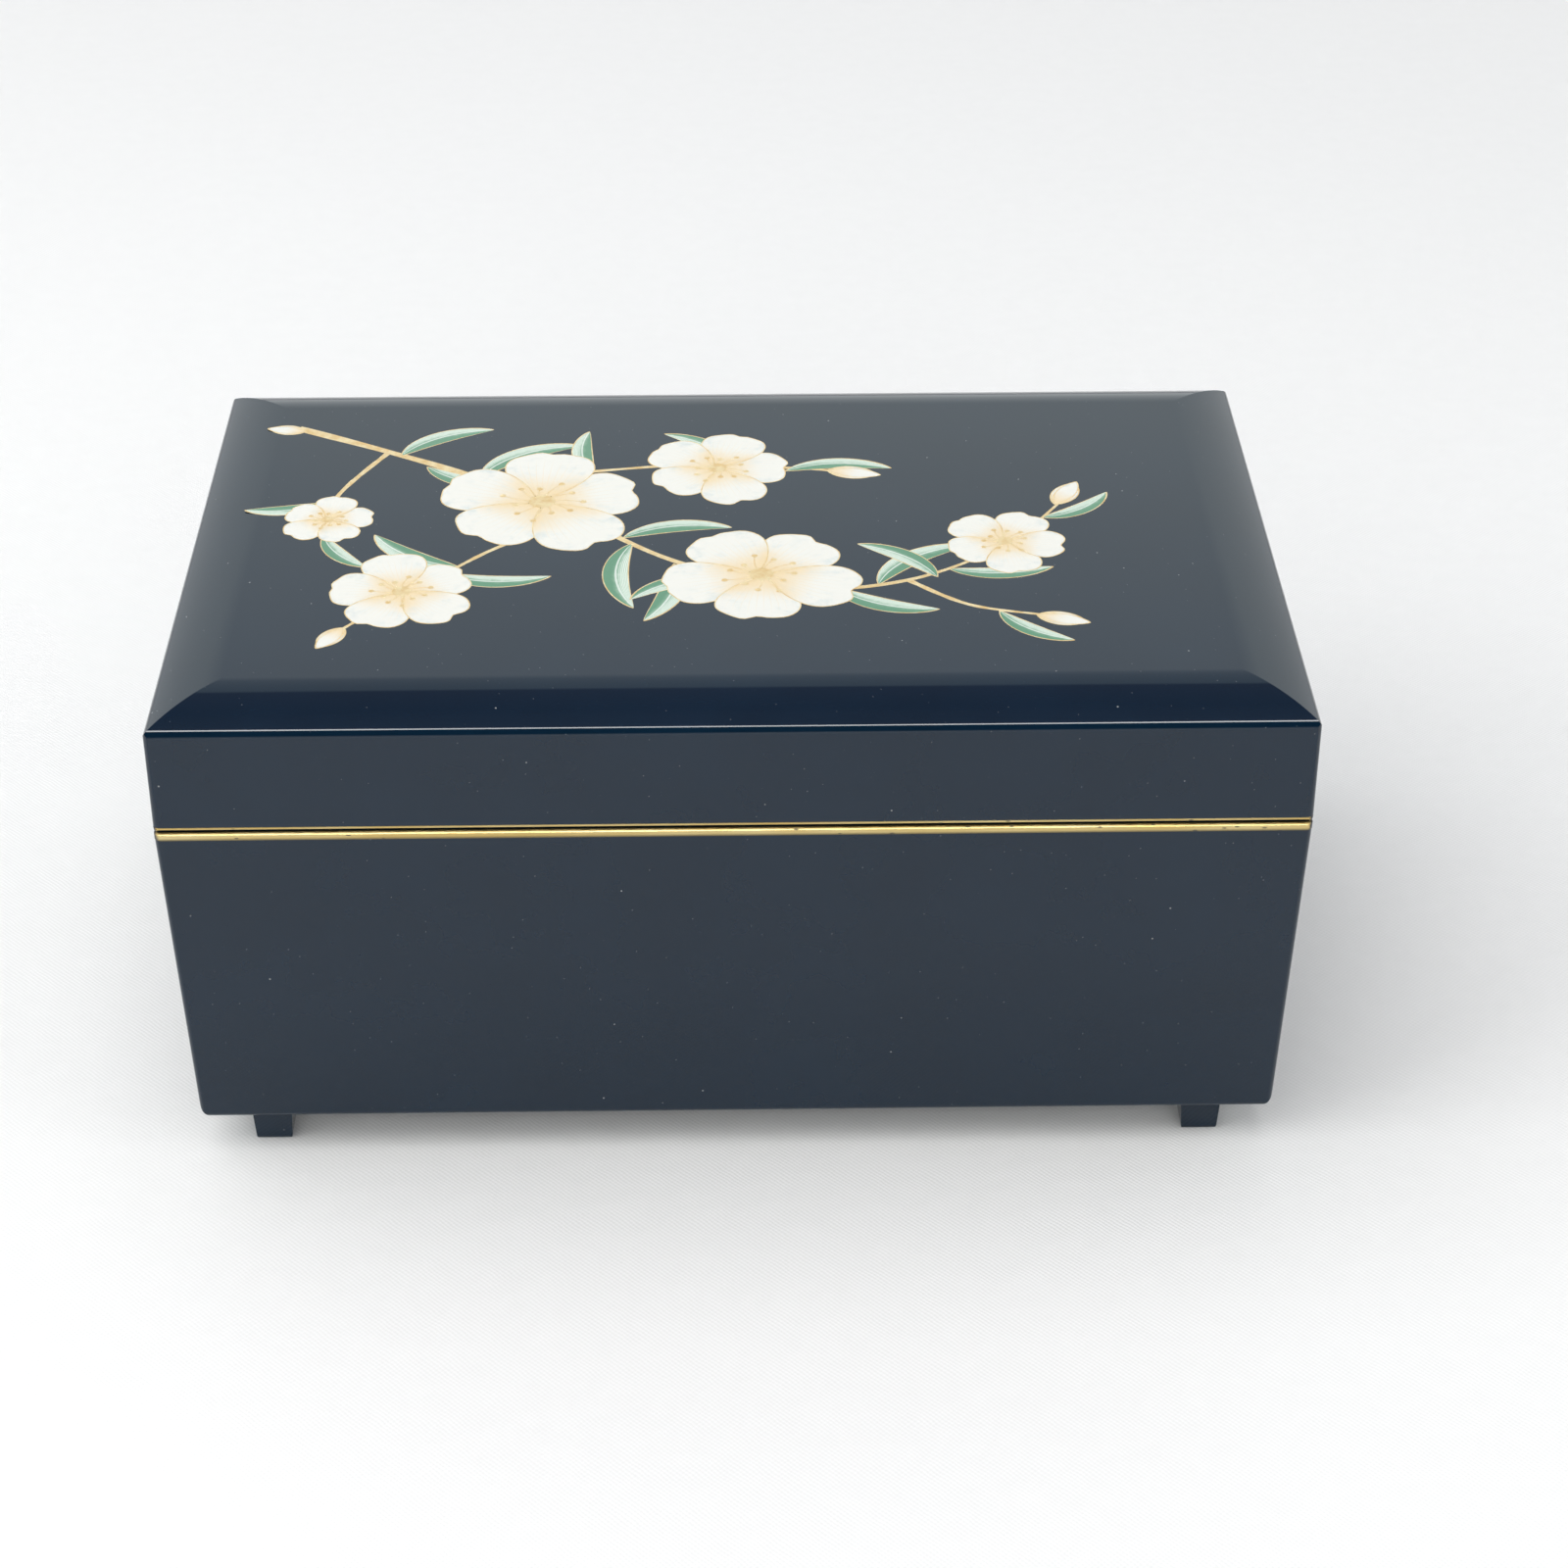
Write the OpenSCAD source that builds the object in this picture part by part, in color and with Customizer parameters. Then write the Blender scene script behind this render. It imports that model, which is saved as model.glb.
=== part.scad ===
// Musical jewelry box: a lacquered case with a hinged lid, a lined
// jewel bay and a clockwork comb movement wound from underneath.
// Millimetres. Origin on the table under the middle of the box,
// +X to the right, -Y to the front, +Z up.

/* [Case] */
// Outside width at the rim
box_w = 152; // [146:1:175]
// Outside depth at the rim
box_d = 98.5; // [92:0.5:115]
// Height of the body's rim above the table
rim_z = 54; // [52:0.5:62]
// Lean of each side, measured in from the rim to the bottom
side_lean = 1.7; // [0.4:0.1:2.2]
// Rounding of the bottom edges at the two ends
bottom_r = 2.4; // [1:0.1:3]
// Rounding of the bottom edges at the front and the back
front_edge_r = 0.9; // [0.5:0.1:2]
// Rounding of the upright corners
corner_r = 1; // [0.6:0.1:1.6]
// Wall thickness at the rim
wall_t = 4; // [3.6:0.1:4.6]
// Thickness of the floor and of the well's cup
floor_t = 2.5; // [2:0.1:3]

/* [Feet] */
// Height of the feet
foot_h = 6; // [5:0.5:8]
// Width of a foot where it meets the body
foot_top_w = 5.6; // [5:0.1:7]
// Width of a foot where it meets the table
foot_tip_w = 4.9; // [3:0.1:4.9]
// Distance of a foot from the body's bottom side edge
foot_side_inset = 6.7; // [4:0.1:12]
// Distance of a foot from the body's bottom front or back edge
foot_end_inset = 2.4; // [2:0.1:6]

/* [Lid] */
// Gap between the two rims
lid_gap = 0.3; // [0.2:0.05:0.5]
// Height of the lid's upright sides
lid_side_h = 14.7; // [14:0.1:22]
// Rise of the crowned top above the shoulder
crown_rise = 3; // [2:0.1:4]
// Width of the curved bevel around the top
bevel_w = 9.5; // [7:0.5:13]
// Rounding of the shoulder edge
shoulder_r = 0.8; // [0.4:0.1:1.2]
// Thickness of the lid's top
lid_top_t = 3.3; // [3:0.1:4]
// How far the lid opens, in degrees
open_angle = 100; // [90:1:105]

/* [Trim] */
// Height of the gilt band on the body's rim
band_h = 1.1; // [0.6:0.1:1.5]
// Height of the gilt line on the lid's rim
line_h = 0.6; // [0.4:0.1:1]
// Depth of both strips in the wall
trim_t = 0.5; // [0.4:0.1:0.8]

/* [Hinges] */
// Distance of each hinge from the middle
hinge_x = 45; // [36:1:52]
// Width of a hinge
hinge_w = 16; // [12:0.5:20]
// Outside radius of a knuckle
knuckle_r = 1.3; // [1.2:0.05:1.5]
// Radius of the hinge pin
hinge_pin_r = 0.6; // [0.5:0.05:0.7]
// Thickness of a leaf
leaf_t = 0.7; // [0.5:0.05:0.9]
// Height of a leaf from the hinge line
leaf_h = 7; // [6:0.5:7.5]

/* [Linings] */
// Thickness of the lining on the bay's sides
lining_t = 1.2; // [0.8:0.1:2]
// Thickness of the pad on the bay's floor
pad_t = 1.5; // [1:0.1:2.5]
// Height of the lining and the boards below the rim
lining_drop = 8; // [7.8:0.1:10]
// Thickness of the partition and the divider
board_t = 2; // [1.6:0.1:3]
// Depth of the ring rolls' section, front to back
ring_depth = 31; // [26:0.5:36]
// Number of ring rolls
roll_count = 4; // [3:1:5]
// Height of the tops of the rolls below the rim
roll_drop = 12; // [10:0.5:16]
// Width of the mirror
mirror_w = 118; // [100:1:124]
// Depth of the mirror
mirror_d = 52; // [44:0.5:54]
// Thickness of the mirror glass
mirror_t = 2; // [1.6:0.1:2.4]
// Thickness of the card behind the mirror
card_t = 1; // [0.6:0.1:1.2]
// Thickness of the padded frame in front of the mirror
frame_lip_t = 1.2; // [1:0.1:2]
// Cover of the frame over the mirror's edge
frame_lip_w = 1.5; // [1:0.1:2.5]

/* [Movement] */
// Distance of the movement's axis behind the middle
move_y = 13; // [12:0.5:13.5]
// Height of the key well above the body's underside
well_h = 7; // [6.6:0.1:7]
// Radius of the key well
well_r = 15; // [13:0.5:15]
// Thickness of the movement's plate
plate_t = 2; // [1.6:0.1:2]
// Radius of the winding arbor
arbor_r = 2; // [1.8:0.05:2.2]
// Half width of the winding key
key_half_w = 9.8; // [8:0.1:11]
// Radius of the tune cylinder
cyl_r = 6.5; // [6:0.05:6.5]
// Length of the tune pins
pin_len = 0.6; // [0.4:0.05:0.6]
// Number of comb teeth
comb_teeth = 18; // [12:1:18]
// Thickness of the comb
comb_t = 1; // [0.8:0.05:1.2]
// Thickness of the clear cover
cover_t = 1.5; // [1:0.1:2]
// Radius of the stop rod
rod_r = 0.8; // [0.6:0.05:0.9]
// Rise of the stop rod as the lid opens
rod_travel = 1.5; // [1:0.1:1.5]

/* [Clearances] */
// Radial running clearance of a pin in its bore
run_gap = 0.05; // [0.03:0.01:0.08]
// Side clearance of a fixed piece in its seat
seat_gap = 0.1; // [0.05:0.05:0.2]
// Clearance between pieces that move past each other
move_gap = 0.3; // [0.3:0.05:0.4]
// Gap between the comb's tips and the pins' tips
comb_gap = 0.12; // [0.1:0.01:0.2]

/* [Hidden] */
$fn = 64;
cut = 1;
half_w = box_w / 2;
half_d = box_d / 2;
base_z = foot_h;
floor_z = base_z + floor_t;
cav_x = half_w - wall_t;
cav_y = half_d - wall_t;
lid_z = rim_z + lid_gap;
shoulder_z = lid_z + lid_side_h;
top_z = shoulder_z + crown_rise;
ceiling_z = top_z - lid_top_t;

// The hinge line lies inside the back wall, and both back edges are
// bevelled towards it, so that the lid stops on the body when open.
axis_y = cav_y + knuckle_r;
axis_z = rim_z + lid_gap / 2;
vee_angle = open_angle / 2 + 1;
knuckle_seg = hinge_w / 3;
knuckle_gap = 0.15;
leaf_corner_r = 0.9;
leaf_screw_r = 0.6;
leaf_screw_head_r = 1.1;
leaf_screw_head_t = 0.4;
leaf_screw_len = 2.4;
leaf_screw_drop = leaf_h * 0.65;
foot_tip_r = 0.7;
trim_bevel = 0.3;

// Key well, plate and barrel, from the table up
well_top_z = base_z + well_h;
deck_z = well_top_z + floor_t;
plate_z = deck_z + plate_t;
barrel_r = 12.9;
barrel_h = 8.2;
barrel_wall_gap = 4;
barrel_lift = 0.4;
barrel_x = -cav_x + barrel_r + barrel_wall_gap;
ratchet_t = 1;
ratchet_r = 5;
ratchet_depth = 0.8;
ratchet_z = plate_z + move_gap;
ratchet_teeth = 12;
barrel_z = ratchet_z + ratchet_t + barrel_lift;
barrel_floor_t = 1;
barrel_cap_t = 1;
crown_z = barrel_z + barrel_h;
crown_r = 11.8;
crown_in_r = 10.6;
crown_teeth = 48;
cup_in_r = 10.1;
arbor_end_gap = 0.2;
spring_turns = 7;
spring_t = 0.5;
spring_inner_gap = 0.5;
click_x = 4;
click_y = -ratchet_r - 3.5;
click_foot_r = 1.2;
click_half_t = 0.3;
click_tip_gap = 0.15;

// Gear train: the crown drives the cylinder's pinion, the cylinder's
// gear drives the governor's pinion, and its worm wheel drives the fan.
tooth_add = 0.35;
tooth_ded = 0.45;
tooth_fill = 0.4;
pinion_teeth = 16;
pinion_r = crown_r * pinion_teeth / crown_teeth;
pinion_w = 2;
pinion_x = barrel_x + crown_r - pinion_w / 2 - run_gap;
cyl_z = crown_z + pinion_r;
cyl_arbor_r = 1;
cyl_end_gap = 0.6;
cyl_tube_t = 0.8;
cyl_hub_r = 2.4;
cyl_recess = 1.5;
bearing_t = 1.2;
bearing_w = 8;
bearing_top_r = 3;
bearing_foot = 5.5;
bearing_side_gap = 0.5;
bearing_l_x = barrel_x + barrel_r + bearing_side_gap;
cyl_x = bearing_l_x + bearing_t + cyl_end_gap;
cyl_len = 18.6;
gear_teeth = 40;
gear_r = 8;
gear_t = 1.4;
gear_gap = 0.8;
gear_add = 0.32;
gear_ded = 0.42;
gear_x = cyl_x + cyl_len + gear_gap;
bearing_r_x = gear_x + gear_t + gear_gap;
gov_teeth = 10;
gov_r = gear_r * gov_teeth / gear_teeth;
gov_y = move_y + gear_r + gov_r;
gov_arbor_r = 0.7;
gov_pinion_w = 1.8;
wheel_teeth = 20;
wheel_r = 3.5;
wheel_t = 1;
wheel_add = 0.2;
wheel_ded = 0.45;
wheel_fill = 0.34;
fan_side_gap = 1;
fan_x = bearing_r_x + bearing_t + fan_side_gap;
worm_mean_r = 1.15;
worm_throw = 0.3;
worm_turns = 4;
worm_pitch = 2 * PI * wheel_r / wheel_teeth;
fan_y = gov_y + wheel_r + worm_mean_r + run_gap;
fan_arbor_r = 0.5;
fan_hub_r = 1;
fan_r = 4.6;
fan_lift = 0.5;
fan_z = cyl_z + wheel_r + wheel_add + fan_lift;
fan_h = 2.1;
fan_t = 0.4;

// Governor bracket, stop rod and clear cover
bracket_base_t = 1.5;
bracket_wall_t = 1;
bracket_half = 1.8;
bracket_corner_r = 1;
bracket_a_x = gear_x - 2.5;
bracket_b_x = fan_x + 2.4;
bracket_x1 = bracket_b_x + bracket_wall_t;
bracket_y0 = gov_y - bracket_half;
bracket_z = plate_z + bracket_base_t;
pivot_skin = 0.3;
column_half = 2.3;
column_t = 1.5;
column_gap = 0.6;
column_y = fan_y + fan_r + column_gap;
bracket_y1 = column_y + column_t;
finger_gap = 0.4;
finger_z = fan_z + fan_h + finger_gap;
finger_t = 0.8;
finger_tip_gap = 0.7;
arm_z = finger_z + finger_gap;
arm_t = 1.4;
cover_z = finger_z + finger_t + rod_travel + finger_gap;
cover_corner_r = 2;
notch_r = 8;
notch_y = -cav_y / 2;
rod_offset = 7;
rod_x = fan_x - rod_offset;
rod_collar_r = 1.9;
rod_collar_t = 1;
rod_foot_gap = 0.3;
bracket_edge = 0.5;
bracket_x0 = rod_x - rod_collar_r - bracket_edge;
coil_r = 1.45;
coil_wire_r = 0.25;
coil_h = 8;
coil_turns = 6;
ledge_w = 2.5;
ledge_h = 2.5;
frame_screw_r = 0.6;
frame_screw_head_r = 1.3;
frame_screw_head_t = 0.8;
frame_screw_bite = 1.6;
bearing_screw_x = bearing_t + (bearing_foot - bearing_t) / 2;
bearing_screws = [
  for (x = [bearing_l_x, bearing_r_x]) [x + bearing_screw_x, move_y, plate_z + bearing_t]
];
bracket_screws = [
  [rod_x + 2 * frame_screw_head_r, column_y - frame_screw_r, bracket_z],
  [(bracket_a_x + bracket_wall_t + fan_x) / 2, gov_y, bracket_z]
];
lip_z = ceiling_z - card_t - mirror_t - frame_lip_t;
rod_top_z = lip_z - move_gap;

// Comb, its rest and the plate's outline
comb_tip_y = move_y - cyl_r - pin_len - comb_gap;
cyl_end_margin = 0.3;
comb_pitch = (cyl_len - 2 * cyl_end_margin) / comb_teeth;
comb_slot = 0.3;
comb_tooth_len = 13;
comb_tooth_taper = 5;
comb_base_d = 7;
comb_margin = 0.6;
comb_w = comb_teeth * comb_pitch;
comb_x = cyl_x + cyl_end_margin;
comb_root_y = comb_tip_y - comb_tooth_len;
comb_back_y = comb_root_y - comb_base_d;
comb_low_z = cyl_z - comb_t / 2;
comb_top_z = comb_low_z + comb_t;
comb_thin_z = comb_low_z + comb_t * 0.35;
comb_ramp = 1.5;
weighted_teeth = 7;
weight_len = 4.5;
weight_drop = 2.2;
weight_inset = 0.5;
rest_x0 = comb_x - comb_margin;
rest_x1 = comb_x + comb_w + comb_margin;
rest_draft = 2.5;
comb_screw_r = 0.9;
comb_screw_head_r = 1.6;
comb_screw_head_t = 1;
comb_screw_len = 9;
comb_screw_inset = 3.2;
comb_screws_x = [rest_x0 + comb_screw_inset, rest_x1 - comb_screw_inset];
comb_screws_y = (comb_back_y + comb_root_y) / 2;
pins_per_track = 4;
tune_pin_r = 0.2;
plate_margin = 0.5;
plate_corner_r = 4;
plate_disc_r = barrel_r + 2.5;
plate_x0 = bearing_l_x - plate_margin;
plate_x1 = bracket_x1 + plate_margin;
plate_y0 = comb_back_y - plate_margin;
plate_y1 = bracket_y1 + plate_margin;
post_r = 3.6;
post_x = plate_x1 - post_r - plate_margin;
post_front_y = comb_root_y + post_r;
post_back_y = gov_y + post_r / 3;
case_screw_r = 1.25;
case_screw_head_r = 2.3;
case_screw_head_t = 1.5;
case_screw_skin = 0.4;
well_screw_y = move_y - well_r + 3.6;
case_screws = [
  [barrel_x, well_screw_y, well_top_z],
  [post_x, post_front_y, base_z + case_screw_head_t],
  [post_x, post_back_y, base_z + case_screw_head_t]
];

// Jewel bay
board_gap = 2;
board_x0 = plate_x1 + board_gap;
board_x1 = board_x0 + board_t;
board_top_z = rim_z - lining_drop;
divider_step = 1;
bay_x0 = board_x1 + seat_gap;
bay_x1 = cav_x - seat_gap;
bay_y = cav_y - seat_gap;
pad_z = floor_z + pad_t;
in_x0 = bay_x0 + lining_t + seat_gap;
in_x1 = bay_x1 - lining_t - seat_gap;
in_y = bay_y - lining_t - seat_gap;
divider_y0 = -in_y + ring_depth;
roll_gap = 0.3;
roll_r = (ring_depth - roll_gap * (roll_count + 1)) / (2 * roll_count);
roll_z = rim_z - roll_drop - roll_r;

// Winding key
key_boss_r = 3.2;
key_boss_drop = 1.6;
key_lobe_r = 3.6;
key_lobe_z = 5.4;
key_eye_r = 1.5;
key_web_half = 2;
key_t = 1.8;
key_socket_z = key_lobe_z + 2.4;
key_top_gap = 0.4;
key_top_z = well_top_z - key_top_gap;
sight_r = 3;

lacquer = [0.05, 0.055, 0.07];
gilt = [0.82, 0.66, 0.32];
brass = [0.72, 0.56, 0.25];
steel = [0.62, 0.63, 0.65];
velvet = [0.32, 0.03, 0.06];

function polar(r, a) = [r * cos(a), r * sin(a)];
function bezier(p, q, r, t) = (1 - t) * (1 - t) * p + 2 * t * (1 - t) * q + t * t * r;

// A box given by its low and high corners
module block(low, high) {
  translate(low)
    cube(high - low);
}

// A cylinder along +X from a point
module rod_along_x(r, x0, x1, y, z) {
  translate([x0, y, z])
    rotate([0, 90, 0])
      cylinder(r = r, h = x1 - x0);
}

// A cylinder along +Y from a point
module rod_along_y(r, y0, y1, x, z) {
  translate([x, y0, z])
    rotate([-90, 0, 0])
      cylinder(r = r, h = y1 - y0);
}

// A flat shape in Y and Z, made solid along X
module slab_along_x(x0, x1) {
  translate([x0, 0, 0])
    rotate([90, 0, 90])
      linear_extrude(height = x1 - x0)
        children();
}

module rounded_plate_2d(half_x, half_y, r) {
  square([2 * half_x - 2 * r, 2 * half_y], center = true);
  square([2 * half_x, 2 * half_y - 2 * r], center = true);
  for (sx = [-1, 1], sy = [-1, 1])
    translate([sx * (half_x - r), sy * (half_y - r)])
      circle(r = r);
}

// A board on edge with a rounded top, seen from its end
module board_2d(low, high) {
  translate([0, low])
    square([board_t, high - low - board_t / 2]);
  translate([board_t / 2, high - board_t / 2])
    circle(r = board_t / 2);
}

// A slotted screw along +Z whose head sits on z = 0
module slotted_screw(shank_r, shank_len, head_r, head_t) {
  slot_w = head_r / 4;
  difference() {
    union() {
      cylinder(r = head_r, h = head_t);
      translate([0, 0, -shank_len])
        cylinder(r = shank_r, h = shank_len + head_t / 2);
    }
    translate([0, 0, head_t])
      cube([2 * head_r + cut, slot_w, head_t], center = true);
  }
}

// Stub gear teeth with straight flanks and plenty of backlash
module gear_2d(teeth, pitch_r, add, ded, fill, phase = 0) {
  step = 360 / teeth;
  half = step * fill / 2;
  polygon([
    for (i = [0 : teeth - 1])
      each [
        polar(pitch_r - ded, phase + i * step - half * 1.3),
        polar(pitch_r + add, phase + i * step - half * 0.6),
        polar(pitch_r + add, phase + i * step + half * 0.6),
        polar(pitch_r - ded, phase + i * step + half * 1.3)
      ]
  ]);
}

// The wedge of air between the bevelled back edges
module back_vee() {
  reach = half_d + 2 - axis_y;
  rise = reach * tan(vee_angle);
  slab_along_x(-half_w - cut, half_w + cut)
    polygon([
      [axis_y, axis_z],
      [axis_y + reach, axis_z - rise],
      [axis_y + reach, axis_z + rise]
    ]);
}

// Room for the knuckles, leaves and leaf screws of both hinges
module hinge_seats(side) {
  low = side < 0 ? axis_z - leaf_h - seat_gap : axis_z - cut;
  high = side < 0 ? axis_z + cut : axis_z + leaf_h + seat_gap;
  for (sx = [-1, 1]) {
    x0 = sx * hinge_x - hinge_w / 2 - seat_gap;
    x1 = sx * hinge_x + hinge_w / 2 + seat_gap;
    block([x0, cav_y - cut, low], [x1, cav_y + leaf_t + run_gap, high]);
    rod_along_x(knuckle_r + move_gap, x0, x1, axis_y, axis_z);
    for (s = [-1, 1])
      rod_along_y(
        leaf_screw_r + run_gap, cav_y, cav_y + leaf_screw_len + seat_gap,
        sx * hinge_x + s * hinge_w / 4, axis_z + side * leaf_screw_drop
      );
  }
}

// How far the body reaches in a direction, at a given inset of its sides
function body_reach(angle, inset) =
  (half_w - inset - corner_r) * abs(cos(angle))
  + (half_d - inset - corner_r) * abs(sin(angle)) + corner_r;

// Two opposite leaning sides seen end on, with the bottom edges rounded
module leaning_2d(angle, edge_r) {
  top = body_reach(angle, 0);
  low = body_reach(angle, side_lean);
  start = low + (top - low) * edge_r / (rim_z - base_z);
  steps = 6;
  edge = concat(
    [[top, rim_z]],
    [
      for (i = [0 : steps])
        bezier([start, base_z + edge_r], [low, base_z], [low - edge_r, base_z], i / steps)
    ]
  );
  last = len(edge) - 1;
  polygon(concat(edge, [for (i = [0 : last]) [-edge[last - i][0], edge[last - i][1]]]));
}

// Crossed profiles: two for the sides, the others for the upright corners
module body_outer() {
  corner_steps = 3;
  step = 90 / (corner_steps + 1);
  intersection() {
    slab_along_x(-half_w, half_w)
      leaning_2d(90, front_edge_r);
    rotate([0, 0, 90])
      slab_along_x(-half_d, half_d)
        leaning_2d(0, bottom_r);
    intersection_for(i = [1 : corner_steps], quarter = [0, 90])
      rotate([0, 0, quarter + i * step - 90])
        slab_along_x(-half_w - half_d, half_w + half_d)
          leaning_2d(quarter + i * step, corner_r);
  }
}

// Section of the box at a strip whose outer edge is bevelled at edge_z
module bevelled_2d(half, square_z, edge_z) {
  start_z = edge_z - sign(edge_z - square_z) * trim_bevel;
  polygon([
    [half, square_z], [half, start_z], [half - trim_bevel, edge_z],
    [trim_bevel - half, edge_z], [-half, start_z], [-half, square_z]
  ]);
}

module trim_ring(square_z, edge_z) {
  low = min(square_z, edge_z);
  high = max(square_z, edge_z);
  difference() {
    intersection() {
      slab_along_x(-half_w, half_w)
        bevelled_2d(half_d, square_z, edge_z);
      rotate([0, 0, 90])
        slab_along_x(-half_d, half_d)
          bevelled_2d(half_w, square_z, edge_z);
      translate([0, 0, low])
        linear_extrude(height = high - low)
          rounded_plate_2d(half_w, half_d, corner_r);
    }
    block(
      [-half_w + trim_t, -half_d + trim_t, low - cut],
      [half_w - trim_t, half_d - trim_t, high + cut]
    );
    back_vee();
  }
}

// The wall left behind a trim strip
module trim_rebate(low, high) {
  difference() {
    block(
      [-half_w - cut, -half_d - cut, low],
      [half_w + cut, half_d + cut, high]
    );
    block(
      [-half_w + trim_t, -half_d + trim_t, low - cut],
      [half_w - trim_t, half_d - trim_t, high + cut]
    );
  }
}

module body_shell() {
  posts = [post_front_y, post_back_y];
  color(lacquer)
    difference() {
      union() {
        difference() {
          body_outer();
          block([-cav_x, -cav_y, floor_z], [cav_x, cav_y, rim_z + cut]);
        }
        translate([barrel_x, move_y, base_z + floor_t / 2])
          cylinder(r = well_r + floor_t, h = deck_z - base_z - floor_t / 2);
        for (y = posts)
          translate([post_x, y, base_z + floor_t / 2])
            cylinder(r = post_r, h = deck_z - base_z - floor_t / 2);
        for (s = [-1, 1])
          block(
            [-cav_x - cut, min(s * cav_y, s * (cav_y - ledge_w)), cover_z - ledge_h],
            [board_x0, max(s * cav_y, s * (cav_y - ledge_w)), cover_z]
          );
      }
      translate([barrel_x, move_y, base_z - cut])
        cylinder(r = well_r, h = well_h + cut);
      translate([barrel_x, move_y, base_z])
        cylinder(r = arbor_r + move_gap, h = deck_z - base_z + cut);
      for (p = case_screws)
        translate([p[0], p[1], base_z - cut]) {
          cylinder(r = case_screw_r + run_gap, h = deck_z - base_z + 2 * cut);
          cylinder(r = case_screw_head_r + seat_gap, h = p[2] - base_z + cut);
        }
      trim_rebate(rim_z - band_h, rim_z + cut);
      back_vee();
      hinge_seats(-1);
    }
}

module body_trim() {
  color(gilt)
    trim_ring(rim_z - band_h, rim_z);
}

// A foot tapers on all four sides and is rounded at the table
module foot_2d() {
  top = foot_top_w / 2;
  tip = foot_tip_w / 2;
  round_x = tip + (top - tip) * foot_tip_r / foot_h;
  steps = 4;
  edge = concat(
    [[top, foot_h]],
    [
      for (i = [0 : steps])
        bezier([round_x, foot_tip_r], [tip, 0], [tip - foot_tip_r, 0], i / steps)
    ]
  );
  last = len(edge) - 1;
  polygon(concat(edge, [for (i = [0 : last]) [-edge[last - i][0], edge[last - i][1]]]));
}

module foot() {
  intersection() {
    slab_along_x(-foot_top_w, foot_top_w)
      foot_2d();
    rotate([0, 0, 90])
      slab_along_x(-foot_top_w, foot_top_w)
        foot_2d();
  }
}

module feet() {
  foot_x = half_w - side_lean - foot_side_inset - foot_top_w / 2;
  foot_y = half_d - side_lean - foot_end_inset - foot_top_w / 2;
  color(lacquer)
    for (sx = [-1, 1], sy = [-1, 1])
      translate([sx * foot_x, sy * foot_y, 0])
        foot();
}

// One leaf: side -1 goes down the body, side 1 up the lid
module hinge_leaf(x, side) {
  own = side < 0
    ? [[-hinge_w / 2, -knuckle_seg / 2 - knuckle_gap], [knuckle_seg / 2 + knuckle_gap, hinge_w / 2]]
    : [[-knuckle_seg / 2, knuckle_seg / 2]];
  near = side * (knuckle_r + move_gap);
  far = side * leaf_h;
  bore_r = hinge_pin_r + run_gap;
  color(brass)
    difference() {
      union() {
        translate([x, cav_y + leaf_t, axis_z + (near + far) / 2])
          rotate([90, 0, 0])
            linear_extrude(height = leaf_t)
              rounded_plate_2d(hinge_w / 2, abs(far - near) / 2, leaf_corner_r);
        for (seg = own) {
          rod_along_x(knuckle_r, x + seg[0], x + seg[1], axis_y, axis_z);
          block(
            [x + seg[0], cav_y, axis_z + min(0, (near + far) / 2)],
            [x + seg[1], cav_y + leaf_t, axis_z + max(0, (near + far) / 2)]
          );
        }
      }
      rod_along_x(bore_r, x - hinge_w, x + hinge_w, axis_y, axis_z);
      for (s = [-1, 1])
        rod_along_y(
          leaf_screw_r + run_gap, cav_y - cut, axis_y + knuckle_r,
          x + s * hinge_w / 4, axis_z + side * leaf_screw_drop
        );
    }
}

module hinge_leaf_body_left() {
  hinge_leaf(-hinge_x, -1);
}

module hinge_leaf_body_right() {
  hinge_leaf(hinge_x, -1);
}

module hinge_leaf_lid_left() {
  hinge_leaf(-hinge_x, 1);
}

module hinge_leaf_lid_right() {
  hinge_leaf(hinge_x, 1);
}

module hinge_pins() {
  color(brass)
    for (sx = [-1, 1])
      rod_along_x(
        hinge_pin_r, sx * hinge_x - hinge_w / 2, sx * hinge_x + hinge_w / 2, axis_y, axis_z
      );
}

module leaf_screws(side) {
  color(brass)
    for (sx = [-1, 1], s = [-1, 1])
      translate([sx * hinge_x + s * hinge_w / 4, cav_y, axis_z + side * leaf_screw_drop])
        rotate([90, 0, 0])
          slotted_screw(leaf_screw_r, leaf_screw_len, leaf_screw_head_r, leaf_screw_head_t);
}

module hinge_screws_body() {
  leaf_screws(-1);
}

module hinge_screws_lid() {
  leaf_screws(1);
}

module partition() {
  color(velvet)
    translate([board_x0, 0, 0])
      rotate([90, 0, 0])
        linear_extrude(height = 2 * (cav_y - seat_gap), center = true)
          board_2d(floor_z, board_top_z);
}

module bay_lining() {
  color(velvet)
    difference() {
      block([bay_x0, -bay_y, pad_z], [bay_x1, bay_y, board_top_z]);
      block(
        [bay_x0 + lining_t, -bay_y + lining_t, pad_z - cut],
        [bay_x1 - lining_t, bay_y - lining_t, board_top_z + cut]
      );
    }
}

module floor_pad() {
  color(velvet)
    block([bay_x0, -bay_y, floor_z], [bay_x1, bay_y, pad_z]);
}

module ring_divider() {
  color(velvet)
    slab_along_x(in_x0, in_x1)
      translate([divider_y0, 0])
        board_2d(pad_z, board_top_z - divider_step);
}

module ring_roll_base() {
  color(velvet)
    block([in_x0, -in_y, pad_z], [in_x1, divider_y0 - seat_gap, roll_z - roll_r]);
}

module ring_rolls() {
  color(velvet)
    for (i = [0 : roll_count - 1])
      rod_along_x(
        roll_r, in_x0 + roll_gap, in_x1 - roll_gap,
        -in_y + roll_gap + roll_r + i * (2 * roll_r + roll_gap), roll_z
      );
}

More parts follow.
